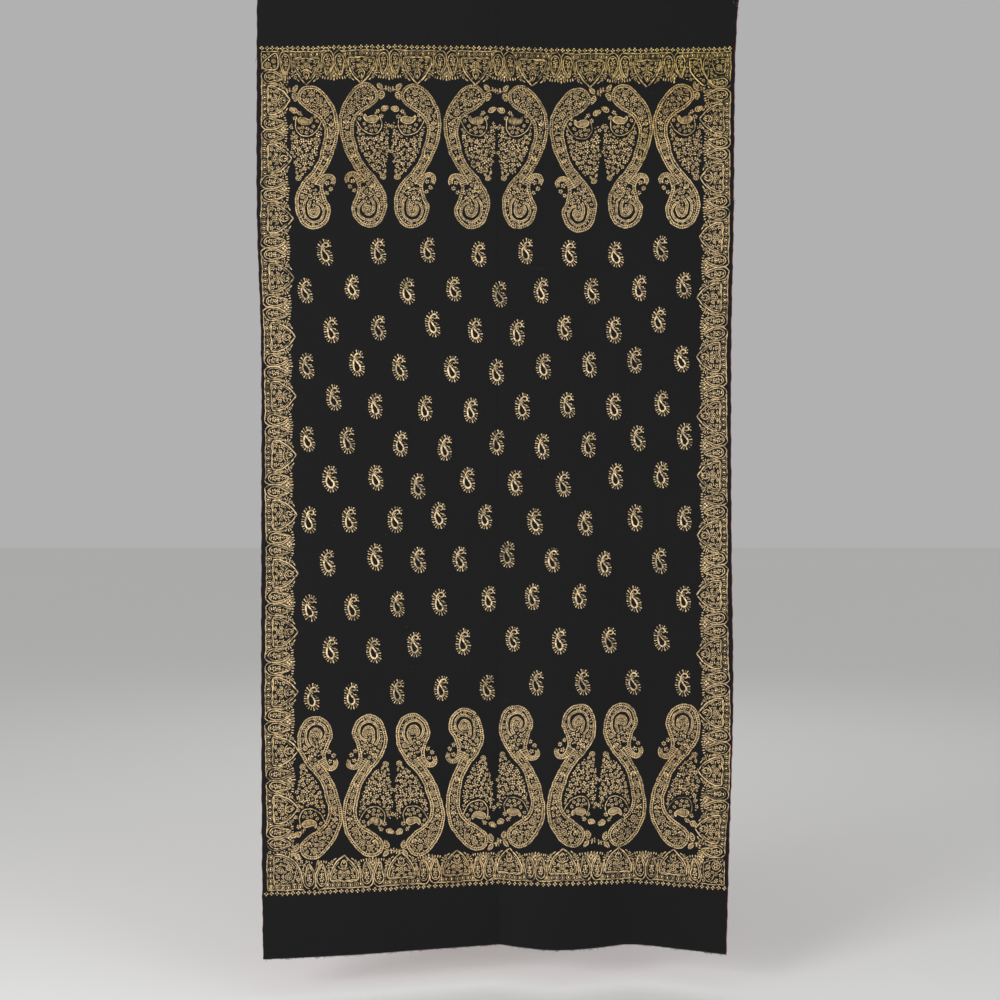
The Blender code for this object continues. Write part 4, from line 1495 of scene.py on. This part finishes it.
def grid_lines(low, high, creases):
    """Lines about a grid space apart, with closer ones through each crease."""
    lines = np.linspace(low, high, round((high - low) / GRID_SPACE) + 1)
    for crease in creases:
        lines = lines[np.abs(lines - crease.place) > crease.half_width + GRID_SPACE / 3]
        close = crease.place + crease.half_width * np.linspace(-1.0, 1.0, CREASE_LINES)
        lines = np.concatenate((lines, close))
    return np.sort(lines)


def cloth():
    """A thin wall: black face, red reverse, and red at its side edges."""
    columns = grid_lines(-HALF_WIDTH, HALF_WIDTH, [CENTRE_FOLD])
    rows = grid_lines(0.0, LENGTH, [TOP_LINE, BOTTOM_LINE])
    across, down = np.meshgrid(columns, rows)
    flat = np.column_stack((across.ravel(), down.ravel()))
    count = len(flat)
    vertices = np.vstack((drape(flat, FACE), drape(flat, -FACE)))
    numbers = np.arange(count).reshape(across.shape)

    def quads(a, b, c, d):
        return np.stack((a.ravel(), b.ravel(), c.ravel(), d.ravel()), axis=1)

    front = quads(numbers[:-1, :-1], numbers[1:, :-1], numbers[1:, 1:], numbers[:-1, 1:])
    back = front[:, ::-1] + count
    border = np.concatenate((numbers[0, :-1], numbers[:-1, -1], numbers[-1, :0:-1], numbers[:0:-1, 0]))
    after = np.roll(border, -1)
    wall = quads(border, after, after + count, border + count)
    faces = np.concatenate((front, back, wall))
    obj = new_mesh("cloth_shell", vertices, faces.ravel(), np.full(len(faces), 4), [BLACK_WOOL, RED_WOOL], 60)
    slots = np.repeat((0, 1), (len(front), len(faces) - len(front)))
    obj.data.polygons.foreach_set("material_index", slots.astype(np.int32))
    add_uv(obj.data, np.vstack((flat, flat + BACK_WEAVE)))
    return obj


# Frayed ends, selvedges and loose threads. A frayed yarn starts a little inside the cloth's end.
FRAY_PITCH = 0.0016
FRAY_ROOT = 0.0015
SHORTEST_END = 0.0015
# Widths in millimetres at the three points of a yarn's end
FRAY_WIDTHS = np.array((0.75, 0.6, 0.35))


def fray(end, outward, longest):
    """Loose ends of yarn along a cut edge, as uneven in length as in lean."""
    lines = []
    for across in np.arange(-HALF_WIDTH + 0.001, HALF_WIDTH, FRAY_PITCH):
        root = np.array((across + rng.normal(0.0, 0.0005), end - outward * FRAY_ROOT))
        reach = SHORTEST_END + longest * rng.beta(1.2, 4.0)
        lean = rng.normal(0.0, 0.45)
        middle = root + (lean * 0.4 * reach, outward * reach * 0.6)
        tip = root + (lean * reach + rng.normal(0.0, 0.0008), outward * reach)
        lines.append(Line(np.array((root, middle, tip)), FRAY_WIDTHS))
    return lines


# Loose ends: where each leaves the cloth, and how far it reaches, both across and down
RED_ENDS = (
    ((0.5045, 0.440), (0.0050, -0.0030)), ((0.5045, 0.443), (0.0060, 0.0010)),
    ((0.5045, 0.446), (0.0040, 0.0050)), ((0.5045, 0.035), (0.0050, 0.0060)),
    ((0.5045, 0.047), (0.0040, 0.0080)), ((-0.5045, 1.760), (-0.0040, 0.0060)),
    ((0.5045, 1.905), (0.0040, 0.0070)), ((-0.5045, 0.930), (-0.0030, 0.0050)),
)
GREY_ENDS = (
    ((0.5030, 0.026), (0.0050, 0.0150)), ((0.4950, 0.022), (0.0060, 0.0100)),
    ((-0.5040, 0.146), (-0.0035, 0.0110)), ((0.2200, 2.0190), (0.0030, 0.0050)),
    ((-0.3100, 2.0190), (-0.0040, 0.0050)),
)
END_WIDTHS = np.array((0.8, 0.7, 0.4))
# Two dark strokes where a yarn was pulled
SNAGS = (
    ((0.055, 0.5840), (0.088, 0.5856), (0.121, 0.5846)),
    ((0.066, 0.5885), (0.092, 0.5894), (0.108, 0.5888)),
)
SNAG_WIDTHS = np.array((0.6, 1.6, 0.6))
# Specks of lint: where they may lie, and how long they are
LINT_LOW, LINT_HIGH = (-0.48, 0.04), (0.48, 1.98)
LINT_REACH = 0.0007
LINT_WIDTHS = np.array((0.4, 0.7, 0.4))
SELVEDGE_INSET = 0.0002
SELVEDGE_POINTS = 240
LINT_COUNT = 60


def loose_ends(rows):
    """Ends of yarn that leave the cloth in a bow."""
    lines = []
    for root, reach in np.array(rows):
        bow = np.array((-reach[1], reach[0])) * 0.3
        lines.append(Line(np.array((root, root + reach * 0.5 + bow, root + reach)), END_WIDTHS))
    return lines


def lint():
    """Specks that lie anywhere on the cloth."""
    lines = []
    for _ in range(LINT_COUNT):
        place = rng.uniform(LINT_LOW, LINT_HIGH)
        reach = rng.normal(0.0, LINT_REACH, 2)
        lines.append(Line(np.array((place - reach, place, place + reach)), LINT_WIDTHS))
    return lines


def snags():
    return [Line(np.array(points), SNAG_WIDTHS) for points in SNAGS]


def selvedge(side):
    """The red edge yarn of one side."""
    across = np.full(SELVEDGE_POINTS, side * (HALF_WIDTH - SELVEDGE_INSET))
    return line(np.column_stack((across, np.linspace(0.0, LENGTH, SELVEDGE_POINTS))), FINE, 1.0)


def dress(obj, slot, *nodes):
    """Puts a piece on the root and hides the nodes that it replaces. Its slot is not used."""
    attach(obj, "root")
    if nodes:
        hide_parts(*nodes)
    return obj


def sew(name, lines, *nodes):
    dress(stitched(name, lines, GOLD_THREAD), "gold_thread", *nodes)


def sew_back(name, lines):
    dress(stitched(name, lines, GOLD_THREAD, face=-1, crown=BACK_CROWN), "gold_thread")


def add_yarns(name, lines, colour, face=1):
    dress(stitched(name, lines, WOOL_YARN, colour, face), "black_wool")


def sew_borders():
    """The four borders, with the ground of each corner packed clear of all of them."""
    borders = {
        "border_top": top_border(), "border_bottom": bottom_border(),
        "border_left": left_border(), "border_right": right_border(),
    }
    laid = sum(borders.values(), [])
    for ground in CORNER_GROUNDS:
        node = "border_bottom" if ground.end == BOTTOM else "border_top"
        borders[node] = borders[node] + fill_ground(laid, ground)
    for node, lines in borders.items():
        sew("stitches_" + node, lines, node)
    sew_back("back_of_borders", reverse(sum(borders.values(), [])))


def sew_botehs(row, botehs):
    """A piece for the face of each large boteh of a row, and one for all their backs."""
    worked = []
    for i, boteh in enumerate(botehs, 1):
        lines = placed_boteh(boteh)
        sew(f"stitches_boteh_{row}_{i}", lines, f"boteh_{row}_{i}")
        worked += reverse(lines)
    sew_back(f"back_of_{row}_botehs", worked)


def add_frays():
    for end, place, outward in (("top", 0.0, -1), ("bottom", LENGTH, 1)):
        black, red = fray(place, outward, 0.007), fray(place, outward, 0.005)
        add_yarns(f"fray_{end}_black", black, BLACK)
        add_yarns(f"fray_{end}_red", red, RED, -1)


def build():
    """Makes every piece."""
    shell = dress(cloth(), "black_wool", "cloth")
    sew_borders()
    sew_botehs("top", TOP_BOTEHS)
    sew_botehs("bottom", BOTTOM_BOTEHS)
    field = field_botehs()
    sew("stitches_field", field)
    sew_back("back_of_field", reverse(field))
    add_frays()
    add_yarns("selvedge_left", selvedge(LEFT), RED)
    add_yarns("selvedge_right", selvedge(RIGHT), RED)
    add_yarns("loose_ends_red", loose_ends(RED_ENDS), RED)
    add_yarns("loose_ends_grey", loose_ends(GREY_ENDS), GREY)
    add_yarns("lint_specks", lint(), GREY)
    add_yarns("snagged_yarns", snags(), DARKEST)


build()


# Stage, light and camera
FLOOR_HEIGHT = -2.10
FLOOR_SIZE = 60.0
FLOOR_COLOUR = (0.92, 0.92, 0.91)
WORLD_GREY = (0.80, 0.80, 0.80, 1.0)
WORLD_STRENGTH = 0.55
LIGHT_AIM = (0.0, 0.0, -LENGTH / 2)


def stage():
    """A pale floor below the shawl, and an even grey world."""
    bpy.ops.mesh.primitive_plane_add(size=FLOOR_SIZE, location=(0.0, 0.0, FLOOR_HEIGHT))
    floor = bpy.context.object
    floor.name = "floor"
    graph = Graph("pale_floor")
    cloud = graph.spread(graph.noise(3.0), 0.97, 1.03)
    graph.set(graph.shader, {
        "Base Color": graph.shaded(FLOOR_COLOUR, cloud), "Roughness": 1.0, "Specular IOR Level": 0.0,
    })
    floor.data.materials.append(graph.material)
    world = bpy.data.worlds.new("studio")
    bpy.context.scene.world = world
    world.use_nodes = True
    background = world.node_tree.nodes["Background"]
    background.inputs["Color"].default_value = WORLD_GREY
    background.inputs["Strength"].default_value = WORLD_STRENGTH


def area_light(name, place, size, power):
    """A square light that looks at the middle of the shawl."""
    light = bpy.data.lights.new(name, "AREA")
    light.size = size
    light.energy = power
    obj = bpy.data.objects.new(name, light)
    bpy.context.scene.collection.objects.link(obj)
    obj.location = place
    x, y, z = np.array(LIGHT_AIM) - np.array(place)
    obj.rotation_euler = (math.atan2(math.hypot(x, y), -z), 0.0, math.atan2(y, x) - math.pi / 2)


def camera():
    """Looks level along +Y from the camera's place."""
    data = bpy.data.cameras.new("camera")
    data.lens, data.sensor_width = LENS, SENSOR
    obj = bpy.data.objects.new("camera", data)
    obj.location = CAMERA_PLACE
    obj.rotation_euler = (math.pi / 2, 0.0, 0.0)
    bpy.context.scene.collection.objects.link(obj)
    bpy.context.scene.camera = obj


stage()
area_light("key", (-2.4, -3.0, -0.7), 1.6, 108.0)
area_light("fill", (2.8, -3.2, -1.2), 2.0, 54.0)
area_light("back", (0.5, 3.6, 1.8), 2.6, 22.0)
camera()
bpy.context.scene.view_settings.view_transform = "Standard"
